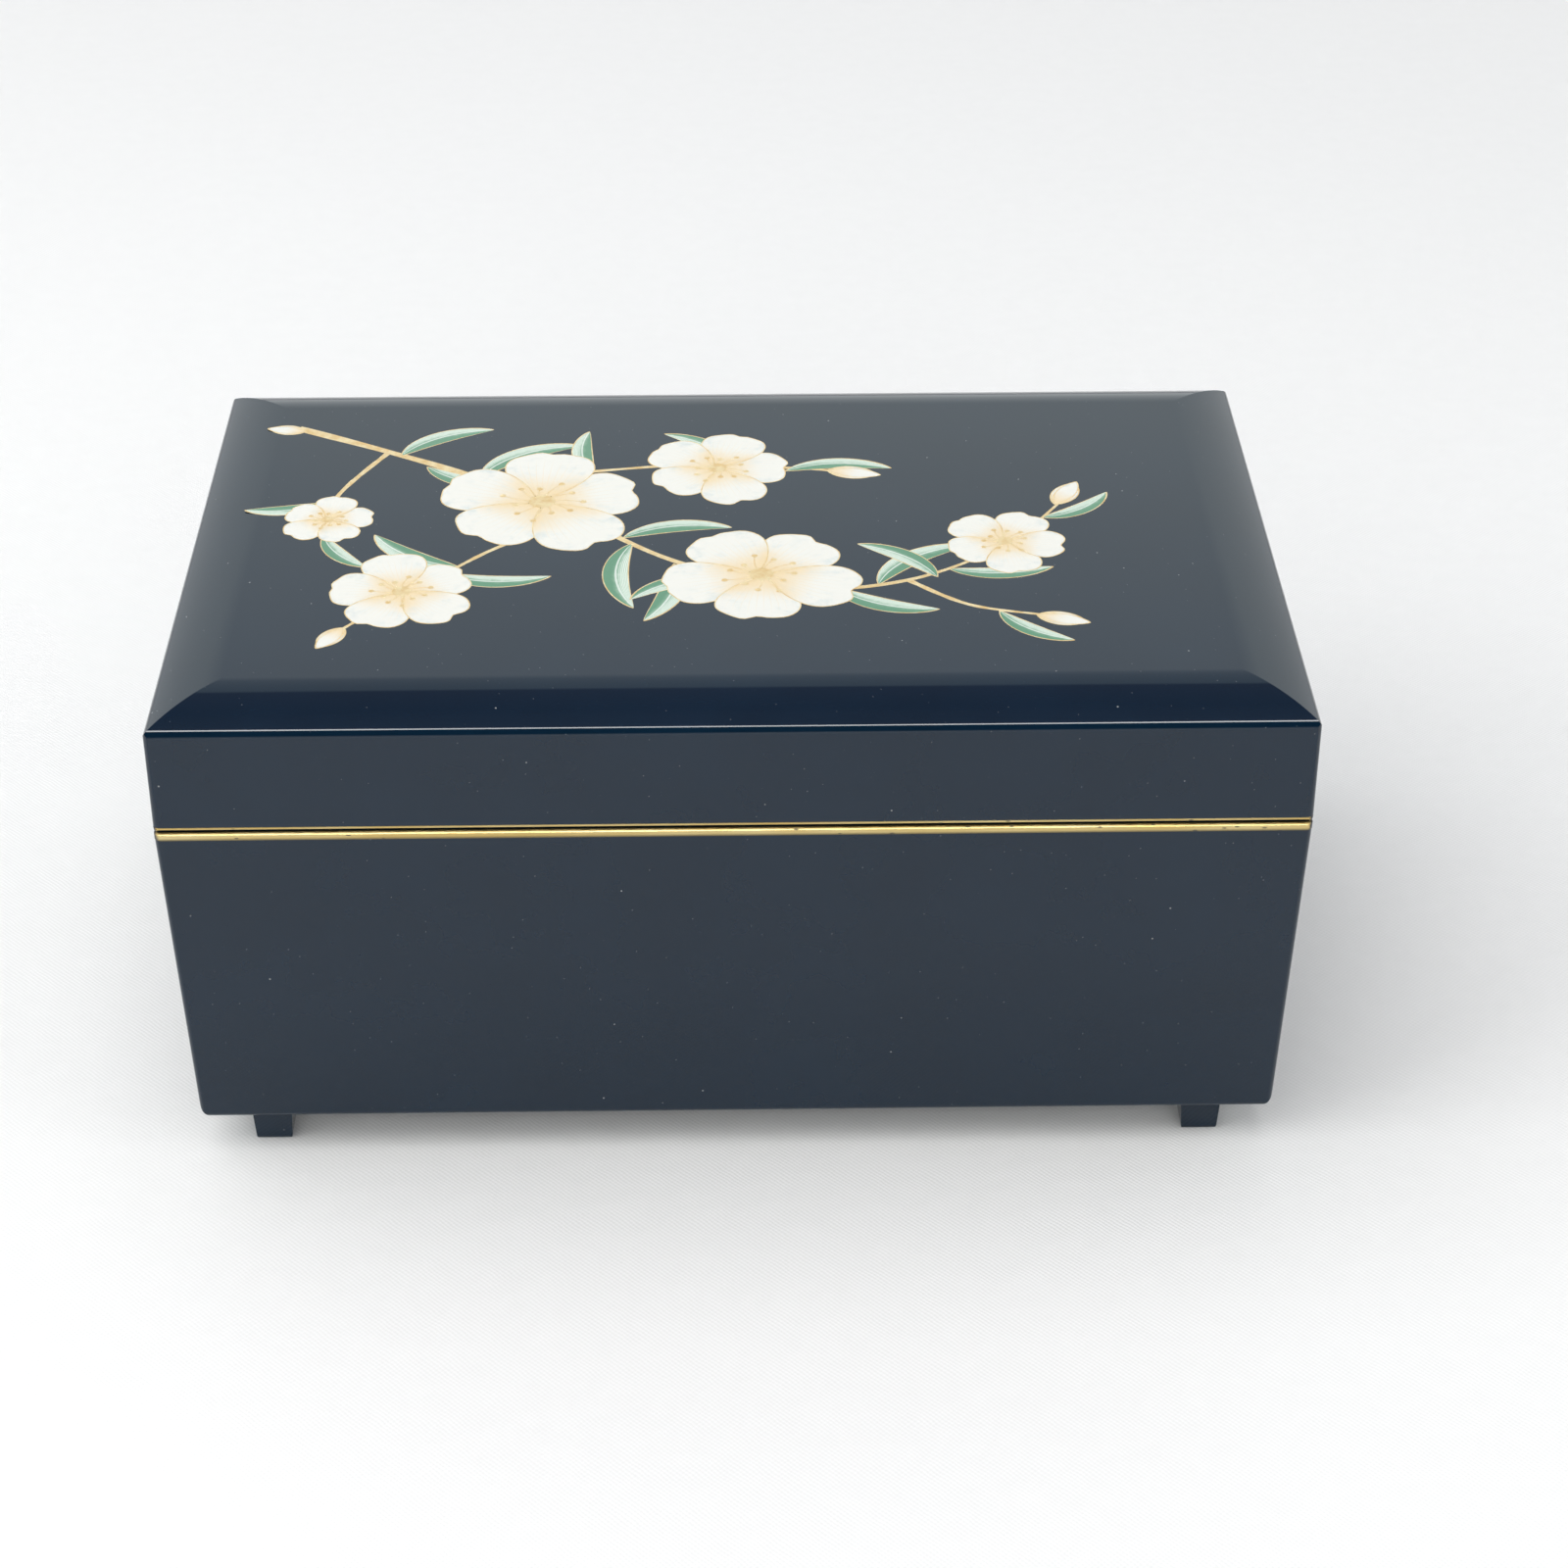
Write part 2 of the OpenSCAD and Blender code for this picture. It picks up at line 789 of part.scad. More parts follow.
// Lifts out by the finger notch beside the partition
module movement_cover() {
  x0 = -cav_x + seat_gap;
  x1 = board_x0 - seat_gap;
  color([0.8, 0.85, 0.88, 0.35])
    translate([0, 0, cover_z])
      linear_extrude(height = cover_t)
        difference() {
          translate([(x0 + x1) / 2, 0])
            rounded_plate_2d((x1 - x0) / 2, cav_y - seat_gap, cover_corner_r);
          translate([rod_x, fan_y])
            circle(r = rod_r + move_gap);
          translate([x1, notch_y])
            circle(r = notch_r);
        }
}

// A cast plate: a disc under the barrel, a panel under the rest of the
// movement and a drafted block that carries the comb
module bedplate() {
  color(steel)
    difference() {
      union() {
        translate([barrel_x, move_y, deck_z])
          cylinder(r = plate_disc_r, h = plate_t);
        translate([(plate_x0 + plate_x1) / 2, (plate_y0 + plate_y1) / 2, deck_z])
          linear_extrude(height = plate_t)
            rounded_plate_2d((plate_x1 - plate_x0) / 2, (plate_y1 - plate_y0) / 2, plate_corner_r);
        slab_along_x(rest_x0, rest_x1)
          polygon([
            [comb_back_y, deck_z + plate_t / 2], [comb_root_y + rest_draft, deck_z + plate_t / 2],
            [comb_root_y + rest_draft, plate_z], [comb_root_y, comb_low_z], [comb_back_y, comb_low_z]
          ]);
      }
      translate([barrel_x, move_y, deck_z - cut])
        cylinder(r = arbor_r + run_gap, h = plate_t + 2 * cut);
      translate([rod_x, fan_y, deck_z - cut])
        cylinder(r = rod_r + run_gap, h = plate_t + 2 * cut);
      for (p = case_screws)
        translate([p[0], p[1], deck_z - cut])
          cylinder(r = case_screw_r + run_gap, h = plate_t - case_screw_skin + seat_gap + cut);
      for (x = comb_screws_x)
        translate([x, comb_screws_y, comb_top_z - comb_screw_len - seat_gap])
          cylinder(r = comb_screw_r + run_gap, h = comb_screw_len);
      for (p = concat(bearing_screws, bracket_screws))
        translate([p[0], p[1], plate_z - frame_screw_bite - seat_gap])
          cylinder(r = frame_screw_r + run_gap, h = plate_t);
    }
}

// A bent strip: an upright with a round top and a foot with one screw
module cylinder_bearing(x0) {
  color(brass)
    difference() {
      union() {
        slab_along_x(x0, x0 + bearing_t) {
          translate([move_y, cyl_z])
            circle(r = bearing_top_r);
          polygon([
            [move_y - bearing_w / 2, plate_z], [move_y + bearing_w / 2, plate_z],
            [move_y + bearing_top_r, cyl_z], [move_y - bearing_top_r, cyl_z]
          ]);
        }
        block(
          [x0, move_y - bearing_w / 2, plate_z],
          [x0 + bearing_foot, move_y + bearing_w / 2, plate_z + bearing_t]
        );
      }
      rod_along_x(cyl_arbor_r + run_gap, x0 - cut, x0 + bearing_t + cut, move_y, cyl_z);
      translate([x0 + bearing_screw_x, move_y, plate_z - cut])
        cylinder(r = frame_screw_r + run_gap, h = bearing_t + 2 * cut);
    }
}

module cylinder_bearing_left() {
  cylinder_bearing(bearing_l_x);
}

module cylinder_bearing_right() {
  cylinder_bearing(bearing_r_x);
}

// Tuned teeth: thinned below, slotted further back on the low side,
// with weights under the tips of the lowest ones
module comb() {
  color(steel)
    difference() {
      union() {
        slab_along_x(rest_x0, rest_x1)
          polygon([
            [comb_back_y, comb_low_z], [comb_root_y, comb_low_z],
            [comb_root_y + comb_ramp, comb_thin_z], [comb_tip_y, comb_thin_z],
            [comb_tip_y, comb_top_z], [comb_back_y, comb_top_z]
          ]);
        for (i = [0 : weighted_teeth - 1]) {
          share = 1 - i / weighted_teeth;
          tip_y = comb_tip_y - weight_inset;
          block(
            [comb_x + i * comb_pitch, tip_y - weight_len * share, comb_thin_z - weight_drop * share],
            [comb_x + (i + 1) * comb_pitch, tip_y, comb_top_z - comb_t / 4]
          );
        }
      }
      for (i = [0 : comb_teeth])
        block(
          [comb_x + i * comb_pitch - comb_slot / 2,
           comb_root_y + comb_tooth_taper * i / comb_teeth, plate_z],
          [comb_x + i * comb_pitch + comb_slot / 2, comb_tip_y + cut, comb_top_z + cut]
        );
      for (x = comb_screws_x)
        translate([x, comb_screws_y, comb_low_z - cut])
          cylinder(r = comb_screw_r + run_gap, h = comb_t + 2 * cut);
    }
}

module comb_screws() {
  color(steel)
    for (x = comb_screws_x)
      translate([x, comb_screws_y, comb_top_z])
        slotted_screw(comb_screw_r, comb_screw_len, comb_screw_head_r, comb_screw_head_t);
}

// Two uprights for the worm wheel's arbor and a bent arm over the fan
module governor_bracket() {
  arm_top = arm_z + arm_t;
  bend_steps = 6;
  color(brass)
    difference() {
      union() {
        translate([(bracket_x0 + bracket_x1) / 2, (bracket_y0 + bracket_y1) / 2, plate_z])
          linear_extrude(height = bracket_base_t)
            rounded_plate_2d(
              (bracket_x1 - bracket_x0) / 2, (bracket_y1 - bracket_y0) / 2, bracket_corner_r
            );
        for (x = [bracket_a_x, bracket_b_x])
          slab_along_x(x, x + bracket_wall_t) {
            translate([gov_y, cyl_z])
              circle(r = bracket_half);
            translate([bracket_y0, plate_z])
              square([2 * bracket_half, cyl_z - plate_z]);
          }
        slab_along_x(fan_x - column_half, fan_x + column_half)
          polygon(concat(
            [[fan_y, arm_z], [column_y, arm_z], [column_y, plate_z], [bracket_y1, plate_z]],
            [
              for (i = [0 : bend_steps])
                bezier(
                  [bracket_y1, arm_z], [bracket_y1, arm_top], [column_y, arm_top], i / bend_steps
                )
            ],
            [[fan_y, arm_top]]
          ));
        translate([fan_x, fan_y, arm_z])
          cylinder(r = column_half, h = arm_t);
      }
      rod_along_x(gov_arbor_r + run_gap, bracket_a_x - cut, bracket_x1 + cut, gov_y, cyl_z);
      translate([fan_x, fan_y, plate_z + pivot_skin])
        cylinder(r = fan_arbor_r + run_gap, h = arm_z + arm_t);
      translate([rod_x, fan_y, plate_z - cut])
        cylinder(r = rod_r + run_gap, h = bracket_base_t + 2 * cut);
      for (p = bracket_screws)
        translate([p[0], p[1], plate_z - cut])
          cylinder(r = frame_screw_r + run_gap, h = bracket_base_t + 2 * cut);
    }
}

module frame_screws() {
  color(steel)
    for (p = concat(bearing_screws, bracket_screws))
      translate(p)
        slotted_screw(
          frame_screw_r, p[2] - plate_z + frame_screw_bite, frame_screw_head_r, frame_screw_head_t
        );
}

// A springy click that rides on the ratchet of the winding arbor
module click_spring() {
  tip_y = -ratchet_r - click_tip_gap;
  color(steel)
    translate([barrel_x, move_y, 0]) {
      translate([click_x, click_y, plate_z])
        cylinder(r = click_foot_r, h = ratchet_t + move_gap);
      translate([0, 0, ratchet_z])
        linear_extrude(height = ratchet_t - arbor_end_gap)
          polygon([
            [click_x, click_y - click_half_t],
            [click_x, click_y + click_half_t],
            [2 * click_half_t, tip_y - click_half_t],
            [0, tip_y],
            [-click_half_t, tip_y - 2 * click_half_t]
          ]);
    }
}

module movement_screws() {
  color(steel)
    for (p = case_screws)
      translate(p)
        rotate([180, 0, 0])
          slotted_screw(
            case_screw_r, plate_z - case_screw_skin - p[2], case_screw_head_r, case_screw_head_t
          );
}

// Square wire: the flat sector it is wound from gives the wire its height
module stop_spring() {
  span = 130;
  steps = 5;
  color(steel)
    translate([rod_x, fan_y, bracket_z])
      linear_extrude(
        height = coil_h, twist = -360 * coil_turns, slices = 10 * coil_turns, $fn = 4
      )
        polygon(concat(
          [for (i = [0 : steps]) polar(coil_r + coil_wire_r, span * (i / steps - 0.5))],
          [for (i = [0 : steps]) polar(coil_r - coil_wire_r, span * (0.5 - i / steps))]
        ));
}

// Outline of the lid seen from one side: upright, rounded shoulder,
// then an arc that runs level into the flat top
function lid_edge(half) =
  let (
    arc_r = (bevel_w * bevel_w + crown_rise * crown_rise) / (2 * crown_rise),
    arc_a = asin(bevel_w / arc_r),
    centre = [half - bevel_w, top_z - arc_r],
    soft = shoulder_r / arc_r * 180 / PI,
    meet = centre + polar(arc_r, 90 - arc_a + soft),
    soft_steps = 6,
    steps = 12
  )
  concat(
    [[half, lid_z]],
    [
      for (i = [0 : soft_steps])
        bezier([half, shoulder_z - shoulder_r], [half, shoulder_z], meet, i / soft_steps)
    ],
    [
      for (i = [1 : steps])
        centre + polar(arc_r, 90 - (arc_a - soft) * (1 - i / steps))
    ]
  );

module lid_outline(half) {
  edge = lid_edge(half);
  last = len(edge) - 1;
  polygon(concat(edge, [for (i = [0 : last]) [-edge[last - i][0], edge[last - i][1]]]));
}

module lid_shell() {
  color(lacquer)
    difference() {
      intersection() {
        slab_along_x(-half_w, half_w)
          lid_outline(half_d);
        rotate([0, 0, 90])
          slab_along_x(-half_d, half_d)
            lid_outline(half_w);
        translate([0, 0, lid_z])
          linear_extrude(height = top_z - lid_z)
            rounded_plate_2d(half_w, half_d, corner_r);
      }
      block([-cav_x, -cav_y, lid_z - cut], [cav_x, cav_y, ceiling_z]);
      trim_rebate(lid_z - cut, lid_z + line_h);
      back_vee();
      hinge_seats(1);
    }
}

module lid_trim() {
  color(gilt)
    trim_ring(lid_z + line_h, lid_z);
}

module mirror_card() {
  color([0.12, 0.1, 0.1])
    block(
      [-mirror_w / 2, -mirror_d / 2, ceiling_z - card_t],
      [mirror_w / 2, mirror_d / 2, ceiling_z]
    );
}

module mirror() {
  color([0.85, 0.88, 0.9])
    block(
      [-mirror_w / 2, -mirror_d / 2, ceiling_z - card_t - mirror_t],
      [mirror_w / 2, mirror_d / 2, ceiling_z - card_t]
    );
}

// A padded frame that holds the mirror in the lid
module lid_lining() {
  pocket_x = mirror_w / 2 + seat_gap;
  pocket_y = mirror_d / 2 + seat_gap;
  sight_x = mirror_w / 2 - frame_lip_w;
  sight_y = mirror_d / 2 - frame_lip_w;
  color(velvet)
    difference() {
      block(
        [-cav_x + seat_gap, -cav_y + seat_gap, lip_z],
        [cav_x - seat_gap, cav_y - seat_gap, ceiling_z]
      );
      block(
        [-pocket_x, -pocket_y, lip_z + frame_lip_t],
        [pocket_x, pocket_y, ceiling_z + cut]
      );
      translate([0, 0, lip_z - cut])
        linear_extrude(height = ceiling_z - lip_z + 2 * cut)
          rounded_plate_2d(sight_x, sight_y, sight_r);
    }
}

module winding_key() {
  lobe_x = key_half_w - key_lobe_r;
  color(brass)
    difference() {
      union() {
        translate([barrel_x, move_y, key_lobe_z - key_boss_drop])
          cylinder(r = key_boss_r, h = key_top_z - key_lobe_z + key_boss_drop);
        translate([barrel_x, move_y, 0])
          rotate([90, 0, 0])
            linear_extrude(height = key_t, center = true)
              difference() {
                union() {
                  translate([-lobe_x, key_lobe_z - key_web_half])
                    square([2 * lobe_x, 2 * key_web_half]);
                  for (s = [-1, 1])
                    translate([s * lobe_x, key_lobe_z])
                      circle(r = key_lobe_r);
                }
                for (s = [-1, 1])
                  translate([s * lobe_x, key_lobe_z])
                    circle(r = key_eye_r);
              }
      }
      translate([barrel_x, move_y, key_socket_z])
        cylinder(r = arbor_r + run_gap, h = key_top_z);
    }
}

module winding_arbor() {
  low_z = key_socket_z + arbor_end_gap;
  end_z = crown_z - tooth_ded - arbor_end_gap;
  tooth = 360 / ratchet_teeth;
  color(steel)
    translate([barrel_x, move_y, 0]) {
      translate([0, 0, low_z])
        cylinder(r = arbor_r, h = end_z - low_z);
      translate([0, 0, ratchet_z])
        linear_extrude(height = ratchet_t)
          polygon([
            for (i = [0 : ratchet_teeth - 1])
              each [polar(ratchet_r, i * tooth), polar(ratchet_r - ratchet_depth, i * tooth + 1)]
          ]);
    }
}

module spring_barrel() {
  wall_top = crown_z - tooth_ded;
  cap_seat_z = wall_top - barrel_cap_t;
  tooth = 360 / crown_teeth;
  color(brass)
    translate([barrel_x, move_y, 0]) {
      difference() {
        translate([0, 0, barrel_z])
          cylinder(r = barrel_r, h = wall_top - barrel_z);
        translate([0, 0, barrel_z + barrel_floor_t])
          cylinder(r = cup_in_r, h = crown_z);
        translate([0, 0, cap_seat_z])
          cylinder(r = crown_in_r, h = crown_z);
        translate([0, 0, barrel_z - cut])
          cylinder(r = arbor_r + run_gap, h = crown_z);
      }
      translate([0, 0, wall_top - tooth_add / 2])
        linear_extrude(height = tooth_ded + 1.5 * tooth_add)
          for (i = [0 : crown_teeth - 1])
            polygon([
              polar(crown_in_r + run_gap, (i + 0.5 - tooth_fill / 2) * tooth),
              polar(barrel_r - run_gap, (i + 0.5 - tooth_fill / 2) * tooth),
              polar(barrel_r - run_gap, (i + 0.5 + tooth_fill / 2) * tooth),
              polar(crown_in_r + run_gap, (i + 0.5 + tooth_fill / 2) * tooth)
            ]);
    }
}

module barrel_cap() {
  cap_z = crown_z - tooth_ded - barrel_cap_t;
  color(brass)
    translate([barrel_x, move_y, cap_z])
      difference() {
        cylinder(r = crown_in_r - run_gap, h = barrel_cap_t);
        translate([0, 0, -cut])
          cylinder(r = arbor_r + run_gap, h = barrel_cap_t + 2 * cut);
      }
}

module mainspring() {
  low_z = barrel_z + barrel_floor_t + seat_gap;
  high_z = crown_z - tooth_ded - barrel_cap_t - seat_gap;
  inner = arbor_r + spring_inner_gap;
  pitch = (cup_in_r - seat_gap - spring_t - inner) / spring_turns;
  steps = spring_turns * 20;
  function coil(i, extra) =
    polar(inner + extra + pitch * spring_turns * i / steps, 360 * spring_turns * i / steps);
  color(steel)
    translate([barrel_x, move_y, low_z])
      linear_extrude(height = high_z - low_z)
        polygon(concat(
          [for (i = [0 : steps]) coil(i, 0)],
          [for (i = [0 : steps]) coil(steps - i, spring_t)]
        ));
}

// A tube on a hub: both ends are turned out between the two
module music_cylinder() {
  end = cyl_x + cyl_len;
  color(brass)
    difference() {
      rod_along_x(cyl_r, cyl_x, end, move_y, cyl_z);
      rod_along_x(cyl_arbor_r + run_gap, cyl_x - cut, end + cut, move_y, cyl_z);
      for (x = [[cyl_x - cut, cyl_x + cyl_recess], [end - cyl_recess, end + cut]])
        difference() {
          rod_along_x(cyl_r - cyl_tube_t, x[0], x[1], move_y, cyl_z);
          rod_along_x(cyl_hub_r, x[0] - cut, x[1] + cut, move_y, cyl_z);
        }
    }
}

// A made-up tune: each track has its pins at spread-out angles
module tune_pins() {
  color(steel)
    for (t = [0 : comb_teeth - 1], k = [0 : pins_per_track - 1])
      translate([comb_x + (t + 0.5) * comb_pitch, move_y, cyl_z])
        rotate([(t * 137.5 + k * 360 / pins_per_track + 23 * ((t * k) % 3)) % 360, 0, 0])
          translate([0, 0, cyl_r])
            cylinder(r = tune_pin_r, h = pin_len, $fn = 16);
}

module cylinder_arbor() {
  color(steel) {
    rod_along_x(
      cyl_arbor_r, pinion_x, bearing_r_x + bearing_t + fan_side_gap / 3, move_y, cyl_z
    );
    translate([0, move_y, cyl_z])
      slab_along_x(pinion_x, pinion_x + pinion_w)
        gear_2d(pinion_teeth, pinion_r, tooth_add, tooth_ded, tooth_fill);
  }
}

module cylinder_gear() {
  color(brass)
    difference() {
      translate([0, move_y, cyl_z])
        slab_along_x(gear_x, gear_x + gear_t)
          gear_2d(gear_teeth, gear_r, gear_add, gear_ded, tooth_fill);
      rod_along_x(cyl_arbor_r + run_gap, gear_x - cut, gear_x + gear_t + cut, move_y, cyl_z);
    }
}

module governor_arbor() {
  x0 = gear_x + gear_t / 2 - gov_pinion_w / 2;
  color(steel) {
    rod_along_x(gov_arbor_r, bracket_a_x, bracket_x1, gov_y, cyl_z);
    translate([0, gov_y, cyl_z])
      slab_along_x(x0, x0 + gov_pinion_w)
        gear_2d(gov_teeth, gov_r, gear_add, gear_ded, tooth_fill, 180 / gov_teeth);
  }
}

module worm_wheel() {
  color(brass)
    difference() {
      translate([0, gov_y, cyl_z])
        slab_along_x(fan_x - wheel_t / 2, fan_x + wheel_t / 2)
          gear_2d(wheel_teeth, wheel_r, wheel_add, wheel_ded, wheel_fill);
      rod_along_x(gov_arbor_r + run_gap, fan_x - cut, fan_x + cut, gov_y, cyl_z);
    }
}

module fan_arbor() {
  worm_len = worm_turns * worm_pitch;
  color(steel) {
    translate([fan_x, fan_y, plate_z + pivot_skin + seat_gap])
      cylinder(r = fan_arbor_r, h = arm_z + arm_t - plate_z - pivot_skin - seat_gap);
    translate([fan_x, fan_y, cyl_z - worm_len / 2])
      linear_extrude(
        height = worm_len, twist = -360 * worm_turns, slices = 12 * worm_turns, $fn = 4
      )
        translate([0, worm_throw])
          circle(r = worm_mean_r, $fn = 18);
  }
}

module fan_blades() {
  color(brass)
    difference() {
      union() {
        translate([fan_x, fan_y, fan_z])
          cylinder(r = fan_hub_r, h = fan_h);
        translate([fan_x, fan_y, fan_z])
          rotate([0, 0, 45])
            block([-fan_r, -fan_t / 2, 0], [fan_r, fan_t / 2, fan_h]);
      }
      translate([fan_x, fan_y, fan_z - cut])
        cylinder(r = fan_arbor_r + run_gap, h = fan_h + 2 * cut);
    }
}

// Pushed down by the lid, which brings its finger down to the fan;
// the spring lifts it as the lid opens
module stop_rod() {
  low_z = deck_z + rod_foot_gap;
  color(steel) {
    translate([rod_x, fan_y, low_z])
      cylinder(r = rod_r, h = rod_top_z - low_z);
    translate([rod_x, fan_y, bracket_z + coil_h + seat_gap])
      cylinder(r = rod_collar_r, h = rod_collar_t);
    block(
      [rod_x, fan_y - rod_r, finger_z],
      [fan_x - column_half - finger_tip_gap, fan_y + rod_r, finger_z + finger_t]
    );
  }
}

body_shell();
body_trim();
feet();
hinge_leaf_body_left();
hinge_leaf_body_right();
hinge_pins();
hinge_screws_body();
partition();
bay_lining();
floor_pad();
ring_divider();
ring_roll_base();
ring_rolls();
movement_cover();
bedplate();
cylinder_bearing_left();
cylinder_bearing_right();
comb();
comb_screws();
governor_bracket();
frame_screws();
click_spring();
movement_screws();
stop_spring();
lid_shell();
lid_trim();
mirror_card();
mirror();
lid_lining();
hinge_leaf_lid_left();
hinge_leaf_lid_right();
hinge_screws_lid();
winding_key();
winding_arbor();
spring_barrel();
barrel_cap();
mainspring();
music_cylinder();
tune_pins();
cylinder_arbor();
cylinder_gear();
governor_arbor();
worm_wheel();
fan_arbor();
fan_blades();
stop_rod();
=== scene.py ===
"""Looks of a musical jewelry box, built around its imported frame."""

import logging
import math
from dataclasses import dataclass, field
from enum import Enum
from typing import Callable, Iterable, Optional, Sequence, Union

import bpy
import numpy as np
from mathutils import Euler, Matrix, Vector


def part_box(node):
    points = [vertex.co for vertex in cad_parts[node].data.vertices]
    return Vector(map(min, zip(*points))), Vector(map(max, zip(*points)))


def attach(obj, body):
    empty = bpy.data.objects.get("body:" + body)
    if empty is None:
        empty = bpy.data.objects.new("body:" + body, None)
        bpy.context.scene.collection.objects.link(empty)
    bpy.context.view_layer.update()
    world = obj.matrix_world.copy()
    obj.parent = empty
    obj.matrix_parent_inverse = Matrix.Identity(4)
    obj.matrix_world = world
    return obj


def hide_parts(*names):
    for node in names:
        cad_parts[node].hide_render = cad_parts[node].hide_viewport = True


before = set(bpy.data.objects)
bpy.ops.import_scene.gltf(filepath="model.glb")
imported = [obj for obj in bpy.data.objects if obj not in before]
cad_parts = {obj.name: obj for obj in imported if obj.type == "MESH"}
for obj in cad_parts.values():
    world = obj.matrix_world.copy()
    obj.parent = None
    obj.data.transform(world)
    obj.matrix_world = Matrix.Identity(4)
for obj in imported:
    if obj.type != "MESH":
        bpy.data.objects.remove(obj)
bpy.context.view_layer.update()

MM = 0.001
log = logging.getLogger("jewelry_box")

Triple = tuple[float, float, float]
Colour = Triple
Number = Union[float, "Socket"]


class Socket:
    """A value in a node tree that takes part in Python expressions."""

    def __init__(self, nodes: "Nodes", socket: bpy.types.NodeSocket) -> None:
        """Wraps one output socket."""
        self.nodes = nodes
        self.socket = socket

    def __add__(self, other: Number) -> "Socket":
        """Sum of two values."""
        return self.nodes.math("ADD", self, other)

    def __radd__(self, other: float) -> "Socket":
        """Sum with a plain number on the left."""
        return self.nodes.math("ADD", other, self)

    def __sub__(self, other: Number) -> "Socket":
        """Difference of two values."""
        return self.nodes.math("SUBTRACT", self, other)

    def __rsub__(self, other: float) -> "Socket":
        """Difference with a plain number on the left."""
        return self.nodes.math("SUBTRACT", other, self)

    def __mul__(self, other: Number) -> "Socket":
        """Product of two values."""
        return self.nodes.math("MULTIPLY", self, other)

    def __rmul__(self, other: float) -> "Socket":
        """Product with a plain number on the left."""
        return self.nodes.math("MULTIPLY", other, self)

    def __truediv__(self, other: Number) -> "Socket":
        """Quotient of two values."""
        return self.nodes.math("DIVIDE", self, other)

    def __rtruediv__(self, other: float) -> "Socket":
        """Quotient with a plain number on the left."""
        return self.nodes.math("DIVIDE", other, self)

    def __abs__(self) -> "Socket":
        """Size of a value without its sign."""
        return self.nodes.math("ABSOLUTE", self)

    def __gt__(self, other: Number) -> "Socket":
        """1 where the value is above the other, and 0 elsewhere."""
        return self.nodes.math("GREATER_THAN", self, other)

    def __lt__(self, other: Number) -> "Socket":
        """1 where the value is below the other, and 0 elsewhere."""
        return self.nodes.math("LESS_THAN", self, other)

    def wave(self) -> "Socket":
        """Sine of the value, in radians."""
        return self.nodes.math("SINE", self)

    def ease(self, low: float, high: float) -> "Socket":
        """Smooth step.

        Args:
            low: Where it is 0.
            high: Where it is 1.

        Returns:
            A number from 0 to 1.
        """
        return self.nodes.node(
            "ShaderNodeMapRange",
            {"interpolation_type": "SMOOTHSTEP"},
            {"Value": self, "From Min": low, "From Max": high},
        )


class Nodes:
    """A node tree that is built from expressions."""

    def __init__(self, tree: bpy.types.NodeTree) -> None:
        """Keeps the tree."""
        self.tree = tree

    def feed(self, target: bpy.types.NodeSocket, value: object) -> None:
        """Links a socket or sets its value.

        Args:
            target: The input socket.
            value: A Socket to link, or a number, colour or vector.
        """
        if isinstance(value, Socket):
            self.tree.links.new(value.socket, target)
        elif target.type == "RGBA" and len(value) == 3:
            target.default_value = (*value, 1.0)
        else:
            target.default_value = value

    def node(
        self,
        kind: str,
        settings: Optional[dict] = None,
        inputs: Optional[dict] = None,
        out: Union[int, str] = 0,
    ) -> Socket:
        """Adds one node.

        Args:
            kind: Blender's name of the node type.
            settings: Properties that are set first; "stops" are a ramp's.
            inputs: Values or links by socket name or number.
            out: The output that is returned.

        Returns:
            The chosen output.
        """
        made = self.tree.nodes.new(kind)
        for key, value in (settings or {}).items():
            if key == "stops":
                elements = made.color_ramp.elements
                elements.remove(elements[1])
                elements[0].position = value[0][0]
                elements[0].color = (*value[0][1], 1.0)
                for place, colour in value[1:]:
                    elements.new(place).color = (*colour, 1.0)
            else:
                setattr(made, key, value)
        for key, value in (inputs or {}).items():
            self.feed(made.inputs[key], value)
        return Socket(self, made.outputs[out])

    def end(self, kind: str, result: Socket) -> None:
        """Joins the result to an output node.

        Args:
            kind: Blender's name of the output node.
            result: What goes into its first input.
        """
        self.feed(self.tree.nodes.new(kind).inputs[0], result)

    def math(self, operation: str, first: Number, second: Number = 0.0) -> Socket:
        """Adds a Math node.

        Args:
            operation: The node's operation.
            first: Its first value.
            second: Its second value.

        Returns:
            The result.
        """
        return self.node("ShaderNodeMath", {"operation": operation}, {0: first, 1: second})

    def vector(self, operation: str, *values: object) -> Socket:
        """Adds a Vector Math node.

        Args:
            operation: The node's operation.
            *values: Its one or two vectors.

        Returns:
            The result.
        """
        return self.node("ShaderNodeVectorMath", {"operation": operation}, dict(enumerate(values)))

    def parts(self, vector: Socket) -> tuple[Socket, Socket, Socket]:
        """The three numbers of a vector."""
        made = self.node("ShaderNodeSeparateXYZ", None, {0: vector}).socket.node
        return tuple(Socket(self, made.outputs[i]) for i in range(3))


